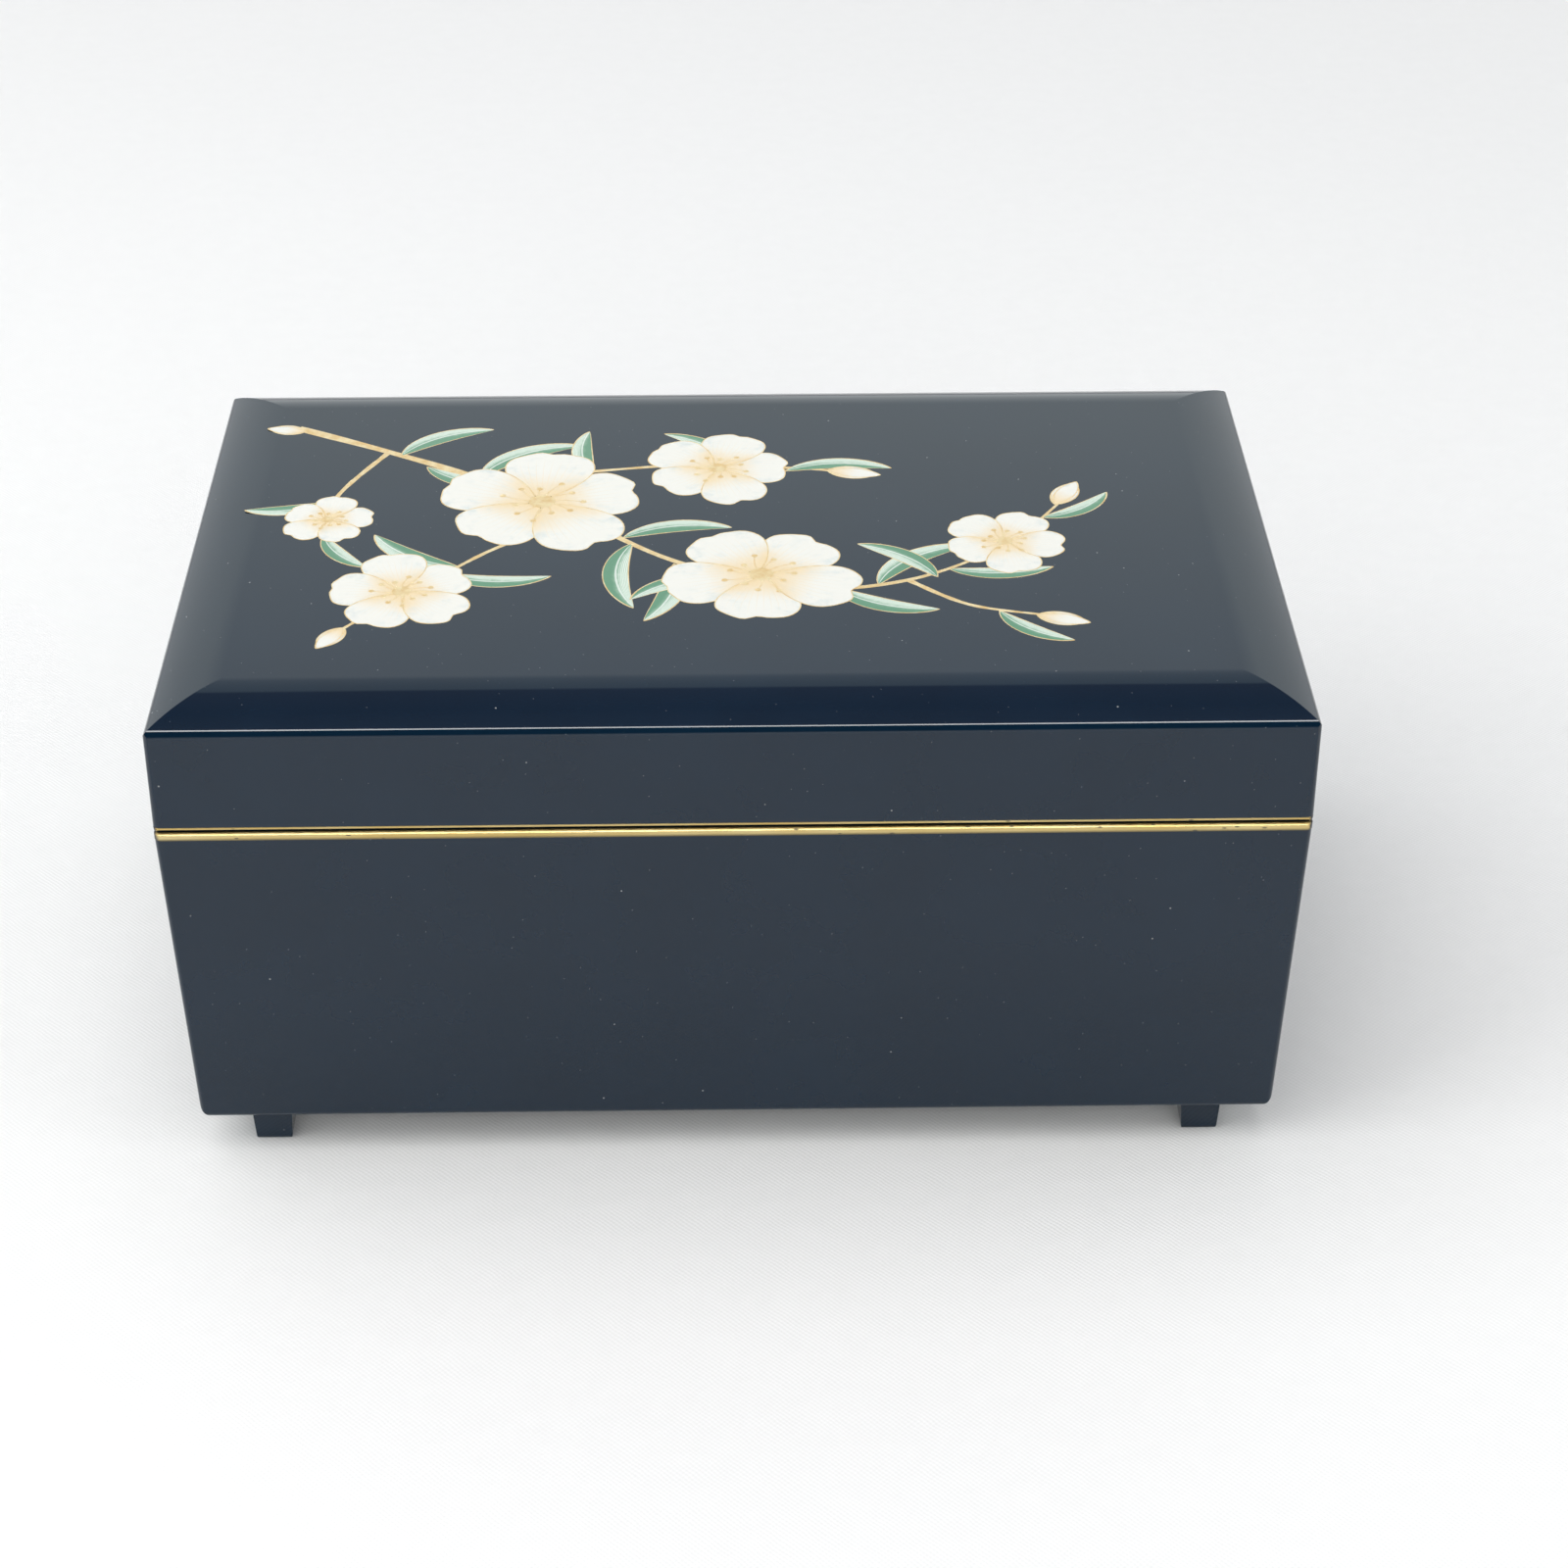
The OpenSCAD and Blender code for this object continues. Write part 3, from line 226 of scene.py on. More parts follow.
class Shader(Nodes):
    """The nodes of a material or of the world."""

    def __init__(self, owner: Union[bpy.types.Material, bpy.types.World]) -> None:
        """Clears the owner's nodes.

        Args:
            owner: The material or world whose nodes are built.
        """
        owner.use_nodes = True
        super().__init__(owner.node_tree)
        self.tree.nodes.clear()

    def mix(self, share: Number, first: object, second: object) -> Socket:
        """Mixes two colours.

        Args:
            share: 0 for the first colour, 1 for the second.
            first: A colour or a link.
            second: A colour or a link.

        Returns:
            The mixed colour.
        """
        return self.node("ShaderNodeMix", {"data_type": "RGBA"}, {0: share, 6: first, 7: second}, 2)

    def blend(self, share: Socket, first: Socket, second: Socket) -> Socket:
        """Mixes two surfaces.

        Args:
            share: 0 for the first surface, 1 for the second.
            first: A surface.
            second: A surface.

        Returns:
            The mixed surface.
        """
        return self.node("ShaderNodeMixShader", None, {0: share, 1: first, 2: second})

    def place(self, stretch: Sequence[float] = (1, 1, 1), turn: Sequence[float] = (0, 0, 0)) -> Socket:
        """The place on the piece in millimetres.

        Args:
            stretch: Scale along each axis, after the turn.
            turn: Turn about each axis, in degrees.

        Returns:
            A vector.
        """
        raw = self.node("ShaderNodeTexCoord", out="Object")
        turned = self.node(
            "ShaderNodeMapping",
            {"vector_type": "POINT"},
            {"Vector": raw, "Rotation": [math.radians(a) for a in turn]},
        )
        return self.vector("MULTIPLY", turned, [s / MM for s in stretch])

    def noise(self, vector: Socket, scale: float, detail: float = 2.0, rough: float = 0.5) -> Socket:
        """Soft noise from 0 to 1.

        Args:
            vector: The place.
            scale: Waves per unit of the place.
            detail: Number of finer layers.
            rough: Weight of the finer layers.

        Returns:
            A number.
        """
        return self.node(
            "ShaderNodeTexNoise",
            None,
            {"Vector": vector, "Scale": scale, "Detail": detail, "Roughness": rough},
        )

    def cells(self, vector: Socket, scale: float) -> Socket:
        """Distance from the middle of the nearest of many scattered cells.

        Args:
            vector: The place.
            scale: Cells per unit of the place.

        Returns:
            A number, in cells.
        """
        return self.node("ShaderNodeTexVoronoi", {"feature": "F1"}, {"Vector": vector, "Scale": scale})

    def specks(self, vector: Socket, scale: float, radius: float) -> Socket:
        """Scattered specks: 1 in a speck and 0 elsewhere.

        Args:
            vector: The place.
            scale: Cells per unit of the place.
            radius: Size of the specks, in cells.

        Returns:
            A mask.
        """
        return 1.0 - self.cells(vector, scale).ease(radius * 0.6, radius)

    def bump(self, height: Socket, depth: float, strength: float = 1.0) -> Socket:
        """A normal from a height.

        Args:
            height: Height from 0 to 1.
            depth: Depth in millimetres.
            strength: Share of the effect.

        Returns:
            The normal.
        """
        return self.node(
            "ShaderNodeBump",
            None,
            {"Height": height, "Distance": depth * MM, "Strength": strength},
        )

    def principled(self, **inputs: object) -> Socket:
        """Adds the main surface shader.

        Args:
            **inputs: Values by socket name, with _ for spaces.

        Returns:
            The surface.
        """
        named = {key.replace("_", " "): value for key, value in inputs.items()}
        return self.node("ShaderNodeBsdfPrincipled", None, named)


class Finish:
    """A material that is made once and shared by its pieces."""

    name: str

    def paint(self, shader: Shader) -> Socket:
        """Builds the nodes.

        Args:
            shader: The material's nodes.

        Returns:
            The surface.
        """
        raise NotImplementedError

    def material(self) -> bpy.types.Material:
        """Makes the material at its first use.

        Returns:
            The material.
        """
        found = bpy.data.materials.get(self.name)
        if found is None:
            found = bpy.data.materials.new(self.name)
            shader = Shader(found)
            shader.end("ShaderNodeOutputMaterial", self.paint(shader))
        return found


@dataclass(frozen=True)
class Lacquer(Finish):
    """Dark lacquer: deep gloss with dust, hairlines and a faint wave; brushed satin inside the box."""

    inner_low: Triple
    inner_high: Triple
    name: str = "black_lacquer"
    base: Colour = (0.0015, 0.0095, 0.021)
    dust: Colour = (0.30, 0.31, 0.31)
    satin: Colour = (0.012, 0.012, 0.013)
    gloss: float = 0.035
    satin_rough: float = 0.42

    def paint(self, shader: Shader) -> Socket:
        """Builds the nodes.

        Args:
            shader: The material's nodes.

        Returns:
            The surface.
        """
        place = shader.place()
        inside = 1.0
        for value, low, high in zip(shader.parts(place), self.inner_low, self.inner_high):
            inside = inside * (value > low) * (value < high)
        outside = 1.0 - inside
        smear = shader.noise(place, 0.06, 4.0, 0.6)
        dust = shader.specks(place, 0.21, 0.032)
        lint = shader.specks(shader.place((0.22, 1.3, 1.3), (31, 17, 58)), 0.5, 0.05)
        line_a = shader.specks(shader.place((0.012, 1.5, 1.5), (8, 22, 14)), 1.0, 0.045)
        line_b = shader.specks(shader.place((1.6, 0.014, 1.6), (34, 10, 63)), 1.0, 0.04)
        marks = dust * 0.8 + lint * 0.35 + (line_a + line_b) * 0.08
        shade = shader.mix(smear, self.base, tuple(c * 1.5 for c in self.base))
        shade = shader.mix(inside, shade, self.satin)
        brush = shader.noise(shader.place((0.4, 4.0, 4.0)), 0.8, 3.0)
        polished = self.gloss + smear.ease(0.35, 0.8) * 0.05 + marks * 0.3
        wave = shader.noise(place, 0.16, 1.0)
        return shader.principled(
            Base_Color=shader.mix(marks * outside, shade, self.dust),
            Roughness=polished * outside + inside * (self.satin_rough + brush * 0.2),
            IOR=1.46,
            Normal=shader.bump(wave * outside * 0.06 + brush * inside, 0.02, 0.6),
        )


@dataclass(frozen=True)
class Gilt(Finish):
    """Rounded gilt strip with painted shade darkening it towards its foot, rubbed dull at its top and away just
    before the corners.
    """

    name: str
    half_x: float
    half_y: float
    middle: float
    half_z: float
    gold: Colour = (0.56, 0.40, 0.14)
    pale: Colour = (0.67, 0.555, 0.285)
    # Colour of the painted shade at the strip's foot.
    foot_shade: Colour = (0.20, 0.165, 0.09)
    bare: Colour = (0.012, 0.014, 0.02)
    fade: float = 0.7
    fade_run: float = 0.5
    rounding: float = 0.1
    rubbed: float = 0.42

    def near(self, place: Socket, half: float) -> Socket:
        """1 at the end of a side, and 0 along it.

        Args:
            place: Place along the side, made ragged.
            half: Half the side's length.

        Returns:
            A mask.
        """
        start = half - self.fade
        return place.ease(start, start + self.fade_run)

    def paint(self, shader: Shader) -> Socket:
        """Builds the nodes.

        Args:
            shader: The material's nodes.

        Returns:
            The surface.
        """
        place = shader.place()
        x, y, z = shader.parts(place)
        ragged = shader.noise(place, 1.4, 3.0) * 0.6 - 0.3
        corner = self.near(abs(x) + ragged, self.half_x) * self.near(abs(y) + ragged, self.half_y)
        worn = shader.specks(shader.place((0.35, 0.35, 1.0)), 1.0, 0.14)
        bare = shader.math("MAXIMUM", corner, worn * 0.75)
        tone = shader.noise(shader.place((0.05, 0.05, 1.2)), 1.0, 3.0)
        across = (z - self.middle) / self.half_z
        leaf = shader.mix(tone.ease(0.3, 0.75), self.gold, self.pale)
        # Painted shade: the strip's colour darkens towards its foot, where its rounded form turns down.
        shade = shader.mix(across.ease(-1.0, -0.2), self.foot_shade, leaf)
        height = 1.0 - across * across + shader.noise(place, 3.0, 2.0) * 0.02
        return shader.principled(
            Base_Color=shader.mix(bare, shade, self.bare),
            Metallic=1.0 - bare,
            Roughness=0.16 + tone * 0.14 + bare * 0.1 + across.ease(0.4, 0.8) * self.rubbed,
            Normal=shader.bump(height, self.half_z * self.rounding),
        )


@dataclass(frozen=True)
class Metal(Finish):
    """A worked metal: its tool marks run along one axis."""

    name: str
    bright: Colour
    dull: Colour
    rough: float = 0.25
    stretch: Triple = (0.15, 3.0, 3.0)
    grain: float = 0.004
    metallic: float = 1.0

    def paint(self, shader: Shader) -> Socket:
        """Builds the nodes.

        Args:
            shader: The material's nodes.

        Returns:
            The surface.
        """
        place = shader.place()
        marks = shader.noise(shader.place(self.stretch), 2.2, 4.0, 0.65)
        stain = shader.noise(place, 0.22, 4.0, 0.6).ease(0.42, 0.75)
        spots = shader.specks(place, 0.7, 0.16)
        return shader.principled(
            Base_Color=shader.mix(stain * 0.45 + spots * 0.3, self.bright, self.dull),
            Metallic=self.metallic,
            Roughness=self.rough + marks * 0.14 + stain * 0.14,
            Normal=shader.bump(marks, self.grain, 0.5),
        )


@dataclass(frozen=True)
class Velvet(Finish):
    """Short-pile velvet with brushed patches."""

    name: str = "wine_velvet"
    deep: Colour = (0.13, 0.006, 0.016)
    bright: Colour = (0.30, 0.018, 0.04)
    sheen: Colour = (0.9, 0.32, 0.38)

    def paint(self, shader: Shader) -> Socket:
        """Builds the nodes.

        Args:
            shader: The material's nodes.

        Returns:
            The surface.
        """
        place = shader.place()
        brushed = shader.noise(place, 0.09, 4.0, 0.55)
        pile = shader.noise(place, 5.0, 2.0, 0.7)
        tufts = shader.cells(place, 3.2)
        share = brushed.ease(0.3, 0.72) * 0.75 + pile * 0.35
        return shader.principled(
            Base_Color=shader.mix(share, self.deep, self.bright),
            Roughness=0.86 + pile * 0.12,
            Specular_IOR_Level=0.15,
            Sheen_Weight=0.55,
            Sheen_Roughness=0.35,
            Sheen_Tint=self.sheen,
            Normal=shader.bump(pile * 0.6 + tufts * 0.4, 0.09, 0.55),
        )


@dataclass(frozen=True)
class ClearSheet(Finish):
    """Clear plastic sheet with a few rubbed lines."""

    name: str = "clear_sheet"
    tint: Colour = (0.94, 0.97, 0.98)

    def paint(self, shader: Shader) -> Socket:
        """Builds the nodes.

        Args:
            shader: The material's nodes.

        Returns:
            The surface.
        """
        lines = shader.specks(shader.place((0.02, 1.2, 1.2), (0, 0, 24)), 1.0, 0.06)
        haze = shader.noise(shader.place(), 0.08, 3.0)
        return shader.principled(
            Base_Color=self.tint,
            Roughness=0.015 + haze * 0.03 + lines * 0.25,
            IOR=1.49,
            Transmission_Weight=1.0,
            Normal=shader.bump(haze, 0.02, 0.1),
        )


@dataclass(frozen=True)
class Silvering(Finish):
    """Mirror glass with slight clouding."""

    name: str = "silvered_glass"
    silver: Colour = (0.9, 0.92, 0.925)
    dim: Colour = (0.68, 0.71, 0.71)

    def paint(self, shader: Shader) -> Socket:
        """Builds the nodes.

        Args:
            shader: The material's nodes.

        Returns:
            The surface.
        """
        place = shader.place()
        cloud = shader.noise(place, 0.05, 4.0).ease(0.5, 0.85)
        spots = shader.specks(place, 0.12, 0.035)
        return shader.principled(
            Base_Color=shader.mix(cloud * 0.3 + spots, self.silver, self.dim),
            Metallic=1.0,
            Roughness=0.01 + cloud * 0.03 + spots * 0.2,
        )


@dataclass(frozen=True)
class Card(Finish):
    """Grey backing card with paper fibres."""

    name: str = "backing_card"
    dark: Colour = (0.05, 0.045, 0.045)
    light: Colour = (0.14, 0.12, 0.115)

    def paint(self, shader: Shader) -> Socket:
        """Builds the nodes.

        Args:
            shader: The material's nodes.

        Returns:
            The surface.
        """
        fibres = shader.noise(shader.place((0.5, 3.0, 3.0), (0, 0, 30)), 1.5, 5.0, 0.7)
        return shader.principled(
            Base_Color=shader.mix(fibres, self.dark, self.light),
            Roughness=0.8 + fibres * 0.15,
            Normal=shader.bump(fibres, 0.05, 0.5),
        )


class Enamel(Finish):
    """Glossy enamel under a clear coat."""

    def glaze(self, shader: Shader, shade: Socket, mottle: Socket, spread: float) -> Socket:
        """Adds the surface.

        Args:
            shader: The nodes.
            shade: Its colour.
            mottle: Its unevenness.
            spread: How much the gloss varies.

        Returns:
            The surface.
        """
        return shader.principled(
            Base_Color=shade,
            Roughness=0.1 + mottle * spread,
            Coat_Weight=0.6,
            Coat_Roughness=0.04,
            Normal=shader.bump(mottle, 0.01, 0.3),
        )


@dataclass(frozen=True)
class PetalEnamel(Enamel):
    """Cream enamel that warms towards the heart of the blossom."""

    name: str = "petal_enamel"
    cream: Colour = (0.80, 0.79, 0.72)
    shadow: Colour = (0.60, 0.66, 0.64)
    heart: Colour = (0.80, 0.60, 0.30)

    def paint(self, shader: Shader) -> Socket:
        """Builds the nodes.

        Args:
            shader: The material's nodes.

        Returns:
            The surface.
        """
        u, v, _ = shader.parts(shader.node("ShaderNodeUVMap"))
        mottle = shader.noise(shader.place(), 0.5, 4.0, 0.6)
        side = abs(v - 0.5) * 2.0
        vein = abs(((v - 0.5) * (46.0 - u * 14.0) + mottle * 1.2).wave())
        reach = (1.0 - u.ease(0.35, 0.95)) * (1.0 - side.ease(0.5, 1.0))
        veins = (1.0 - vein.ease(0.0, 0.3)) * reach
        warm = 1.0 - (u + mottle * 0.25 - side * 0.05).ease(0.12, 0.72)
        shade = shader.mix(mottle.ease(0.45, 0.75) * side, self.cream, self.shadow)
        shade = shader.mix(warm * 0.9, shade, self.heart)
        shade = shader.mix(veins * 0.4, shade, self.heart)
        return self.glaze(shader, shade, mottle, 0.1)


@dataclass(frozen=True)
class LeafEnamel(Enamel):
    """Green enamel brushed out to a pale edge, with a lighter rib."""

    name: str = "leaf_enamel"
    green: Colour = (0.055, 0.23, 0.11)
    mint: Colour = (0.42, 0.58, 0.44)
    pale: Colour = (0.78, 0.84, 0.76)

    def paint(self, shader: Shader) -> Socket:
        """Builds the nodes.

        Args:
            shader: The material's nodes.

        Returns:
            The surface.
        """
        u, v, _ = shader.parts(shader.node("ShaderNodeUVMap"))
        mottle = shader.noise(shader.place(), 0.9, 4.0, 0.65)
        side = v - 0.5
        stroke = (side * 70.0 + abs(side) * u * 30.0 + mottle * 5.0).wave() * 0.5 + 0.5
        light = (side * 1.5 + u * 0.45 + mottle * 0.5).ease(0.15, 0.95)
        rib = 1.0 - abs(side).ease(0.02, 0.05)
        shade = shader.mix(light, self.green, self.mint)
        shade = shader.mix((light * stroke).ease(0.3, 0.95), shade, self.pale)
        shade = shader.mix(rib * 0.8, shade, self.pale)
        return self.glaze(shader, shade, mottle, 0.12)


@dataclass(frozen=True)
class GoldLine(Finish):
    """Gold painted line, thin in places."""

    name: str = "gold_line"
    gold: Colour = (0.74, 0.50, 0.20)
    light: Colour = (0.90, 0.74, 0.44)

    def paint(self, shader: Shader) -> Socket:
        """Builds the nodes.

        Args:
            shader: The material's nodes.

        Returns:
            The surface.
        """
        tone = shader.noise(shader.place(), 0.7, 4.0, 0.6)
        return shader.principled(
            Base_Color=shader.mix(tone.ease(0.3, 0.7), self.gold, self.light),
            Metallic=0.35 + tone * 0.3,
            Roughness=0.22 + tone * 0.2,
            Normal=shader.bump(tone, 0.01, 0.4),
        )


@dataclass(frozen=True)
class FloorCloth(Finish):
    """Plain pale floor with the weave of white cloth, which runs into the backdrop; clear from below."""

    backdrop: Colour
    name: str = "pale_floor"
    fade: tuple[float, float] = (300.0, 1000.0)
    white: Colour = (0.93, 0.93, 0.915)
    thread: Colour = (0.86, 0.86, 0.845)

    def paint(self, shader: Shader) -> Socket:
        """Builds the nodes.

        Args:
            shader: The material's nodes.

        Returns:
            The surface.
        """
        place = shader.place()
        x, y, _ = shader.parts(place)
        slub = shader.noise(place, 0.25, 3.0)
        warp, weft = (((along + slub * 0.5) * 8.0).wave() for along in (x, y))
        weave = warp * weft * 0.5 + 0.5
        cloth = shader.principled(
            Base_Color=shader.mix(weave * 0.6 + slub * 0.4, self.white, self.thread),
            Roughness=0.9 + slub * 0.08,
            Specular_IOR_Level=0.1,
            Normal=shader.bump(weave * 0.5 + slub * 0.5, 0.12, 0.5),
        )
        far = shader.math("SQRT", x * x + y * y).ease(*self.fade)
        seen = shader.node("ShaderNodeLightPath", out="Is Camera Ray")
        wall = shader.node("ShaderNodeEmission", None, {"Color": self.backdrop, "Strength": 1.0})
        below = shader.node("ShaderNodeNewGeometry", out="Backfacing")
        clear = shader.node("ShaderNodeBsdfTransparent")
        return shader.blend(below, shader.blend(far * seen, cloth, wall), clear)


class MeshMaker:
    """Collects points and faces and turns them into one object."""

    def __init__(self) -> None:
        """Starts with nothing."""
        self.points: list[Sequence[float]] = []
        self.faces: list[tuple[int, ...]] = []
        self.marks: list[tuple[float, float]] = []

    def loft(self, rings: Sequence[Sequence[Sequence[float]]], wrap: bool) -> None:
        """Joins closed rings of equal length, and caps the ends.

        Args:
            rings: Rings of points in millimetres.
            wrap: True to join the last ring to the first, with no caps.
        """
        start, count = len(self.points), len(rings[0])
        for i, ring in enumerate(rings):
            self.points.extend(ring)
            self.marks.extend((i / max(1, len(rings) - 1), j / count) for j in range(count))
        last = len(rings) if wrap else len(rings) - 1
        for i in range(last):
            a = start + i * count
            b = start + (i + 1) % len(rings) * count
            for j in range(count):
                k = (j + 1) % count
                self.faces.append((a + j, a + k, b + k, b + j))
        if not wrap:
            self.faces.append(tuple(start + j for j in reversed(range(count))))
            end = start + (len(rings) - 1) * count
            self.faces.append(tuple(end + j for j in range(count)))

    def slip(self, grid: np.ndarray, top: Optional[float], low: float) -> None:
        """Adds a sheet with a flat underside, from a grid of places.

        Args:
            grid: Places, rows by columns by two or three, in millimetres.
            top: Height of a flat top, or None where the grid has its own.
            low: Height of the underside.
        """
        rows, columns, _ = grid.shape
        start = len(self.points)
        for i in range(rows):
            for j in range(columns):
                self.points.append(tuple(grid[i, j]) if top is None else (*grid[i, j], top))
                self.marks.append((i / (rows - 1), j / (columns - 1)))
        for i in range(rows - 1):
            for j in range(columns - 1):
                a = start + i * columns + j
                self.faces.append((a, a + columns, a + columns + 1, a + 1))
        loop = [(0, j) for j in range(columns)]
        loop += [(i, columns - 1) for i in range(1, rows)]
        loop += [(rows - 1, j) for j in reversed(range(columns - 1))]
        loop += [(i, 0) for i in reversed(range(1, rows - 1))]
        under = len(self.points)
        for i, j in loop:
            self.points.append((*grid[i, j][:2], low))
            self.marks.append((i / (rows - 1), j / (columns - 1)))
        for k, (i, j) in enumerate(loop):
            n = (k + 1) % len(loop)
            a = start + i * columns + j
            b = start + loop[n][0] * columns + loop[n][1]
            self.faces.append((a, b, under + n, under + k))
        self.faces.append(tuple(under + k for k in range(len(loop))))

    def finish(self, name: str, body: str, finish: Finish, smooth: bool = True) -> bpy.types.Object:
        """Makes the object and hangs it on its body.

        Args:
            name: The piece's name.
            body: The body it rides on.
            finish: Its material.
            smooth: True for smooth shading.

        Returns:
            The object.
        """
        mesh = bpy.data.meshes.new(name)
        mesh.from_pydata([[c * MM for c in p] for p in self.points], [], self.faces)
        layer = mesh.uv_layers.new(name="UVMap")
        corners = np.empty(len(mesh.loops), np.int32)
        mesh.loops.foreach_get("vertex_index", corners)
        layer.data.foreach_set("uv", np.array(self.marks, np.float32)[corners].ravel())
        mesh.polygons.foreach_set("use_smooth", [smooth] * len(mesh.polygons))
        mesh.validate()
        made = bpy.data.objects.new(name, mesh)
        bpy.context.scene.collection.objects.link(made)
        made.data.materials.append(finish.material())
        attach(made, body)
        log.info("made %s on %s, %d faces", name, body, len(mesh.polygons))
        return made


@dataclass(frozen=True)
class Stuffing:
    """How a cover swells over its filling, in a cloth trial at a larger scale."""

    pressure: float
    slack: float
    limit: float
    frames: int = 20
    scale: float = 0.02
    quality: int = 6
    mass: float = 0.02
    bending: float = 0.3

    def swell(
        self, maker: MeshMaker, held: np.ndarray, confine: Callable[[np.ndarray], np.ndarray]
    ) -> None:
        """Swells a mesh and keeps the result.

        Args:
            maker: The mesh; its points are changed.
            held: True for the points that are sewn down.
            confine: Brings points back into the space they may fill.
        """
        scene = bpy.context.scene
        start = np.array(maker.points, float)
        mesh = bpy.data.meshes.new("trial_cover")
        mesh.from_pydata((start * self.scale).tolist(), [], maker.faces)
        trial = bpy.data.objects.new("trial_cover", mesh)
        scene.collection.objects.link(trial)
        trial.vertex_groups.new(name="sewn").add(np.flatnonzero(held).tolist(), 1.0, "REPLACE")
        cover = trial.modifiers.new("cover", "CLOTH")
        cloth = cover.settings
        cloth.quality = self.quality
        cloth.mass = self.mass
        cloth.bending_stiffness = self.bending
        cloth.vertex_group_mass = "sewn"
        cloth.use_pressure = True
        cloth.uniform_pressure_force = self.pressure
        cloth.shrink_min = -self.slack
        cloth.effector_weights.gravity = 0.0
        cover.collision_settings.use_collision = False
        for number in range(1, self.frames + 1):
            scene.frame_set(number)
        shape = trial.evaluated_get(bpy.context.evaluated_depsgraph_get()).to_mesh()
        moved = np.empty(len(start) * 3)
        shape.vertices.foreach_get("co", moved)
        step = moved.reshape(-1, 3) / self.scale - start
        step[held] = 0.0
        reach = np.linalg.norm(step, axis=1)
        step *= min(1.0, self.limit / reach.max())
        log.info("swelled by %.2f mm on average, %.2f at most", reach[~held].mean(), reach.max())
        maker.points = [tuple(p) for p in confine(start + step)]
        bpy.data.objects.remove(trial)
        bpy.data.meshes.remove(mesh)
        scene.frame_set(1)


def corners(node: str) -> tuple[np.ndarray, np.ndarray]:
    """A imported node's lowest and highest corner, in millimetres."""
    low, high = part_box(node)
    return np.array(low) / MM, np.array(high) / MM


def disc_grid(steps: int) -> np.ndarray:
    """A square grid pulled onto the unit disc.

    Args:
        steps: Points along each side.

    Returns:
        Places, steps by steps by two.
    """
    line = np.linspace(-1, 1, steps)
    a, b = np.meshgrid(line, line, indexing="ij")
    return np.stack([a * np.sqrt(1 - b * b / 2), b * np.sqrt(1 - a * a / 2)], axis=-1)


def spline(points: Sequence[Sequence[float]], steps: int) -> np.ndarray:
    """A smooth line through points.

    Args:
        points: The points.
        steps: Steps between two points.

    Returns:
        Places along the line.
    """
    p = np.array([points[0], *points, points[-1]], float)
    found = []
    for i in range(1, len(p) - 2):
        for t in np.linspace(0, 1, steps, endpoint=False):
            found.append(
                0.5 * (2 * p[i] + (p[i + 1] - p[i - 1]) * t
                       + (2 * p[i - 1] - 5 * p[i] + 4 * p[i + 1] - p[i + 2]) * t * t
                       + (3 * p[i] - p[i - 1] - 3 * p[i + 1] + p[i + 2]) * t ** 3)
            )
    found.append(p[-2])
    return np.array(found)


def loop_places(half_x: float, half_y: float, radius: float, count: int) -> np.ndarray:
    """Places round a rounded rectangle, spread evenly from one corner.

    Args:
        half_x: Half its size along X.
        half_y: Half its size along Y.
        radius: Radius of its corners.
        count: Places on each side; a corner has a third as many.

    Returns:
        Places, anticlockwise.
    """
    signs = np.array([(1, -1), (1, 1), (-1, 1), (-1, -1)])
    centres = signs * (half_x - radius, half_y - radius)
    turn = max(4, count // 3)
    found = []
    for i, centre in enumerate(centres):
        arc = [math.radians(90 * (i - 1) + 90 * k / turn) for k in range(turn + 1)]
        bend = [centre + radius * np.array([math.cos(a), math.sin(a)]) for a in arc]
        found += bend[:-1]
        side = centres[(i + 1) % 4] - centre
        found += [bend[-1] + side * k / count for k in range(count)]
    return np.array(found)


class EdgeKind(Enum):
    """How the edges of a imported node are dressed."""

    SOFT = "soft"
    EASED = "eased"
    MITRED = "mitred"


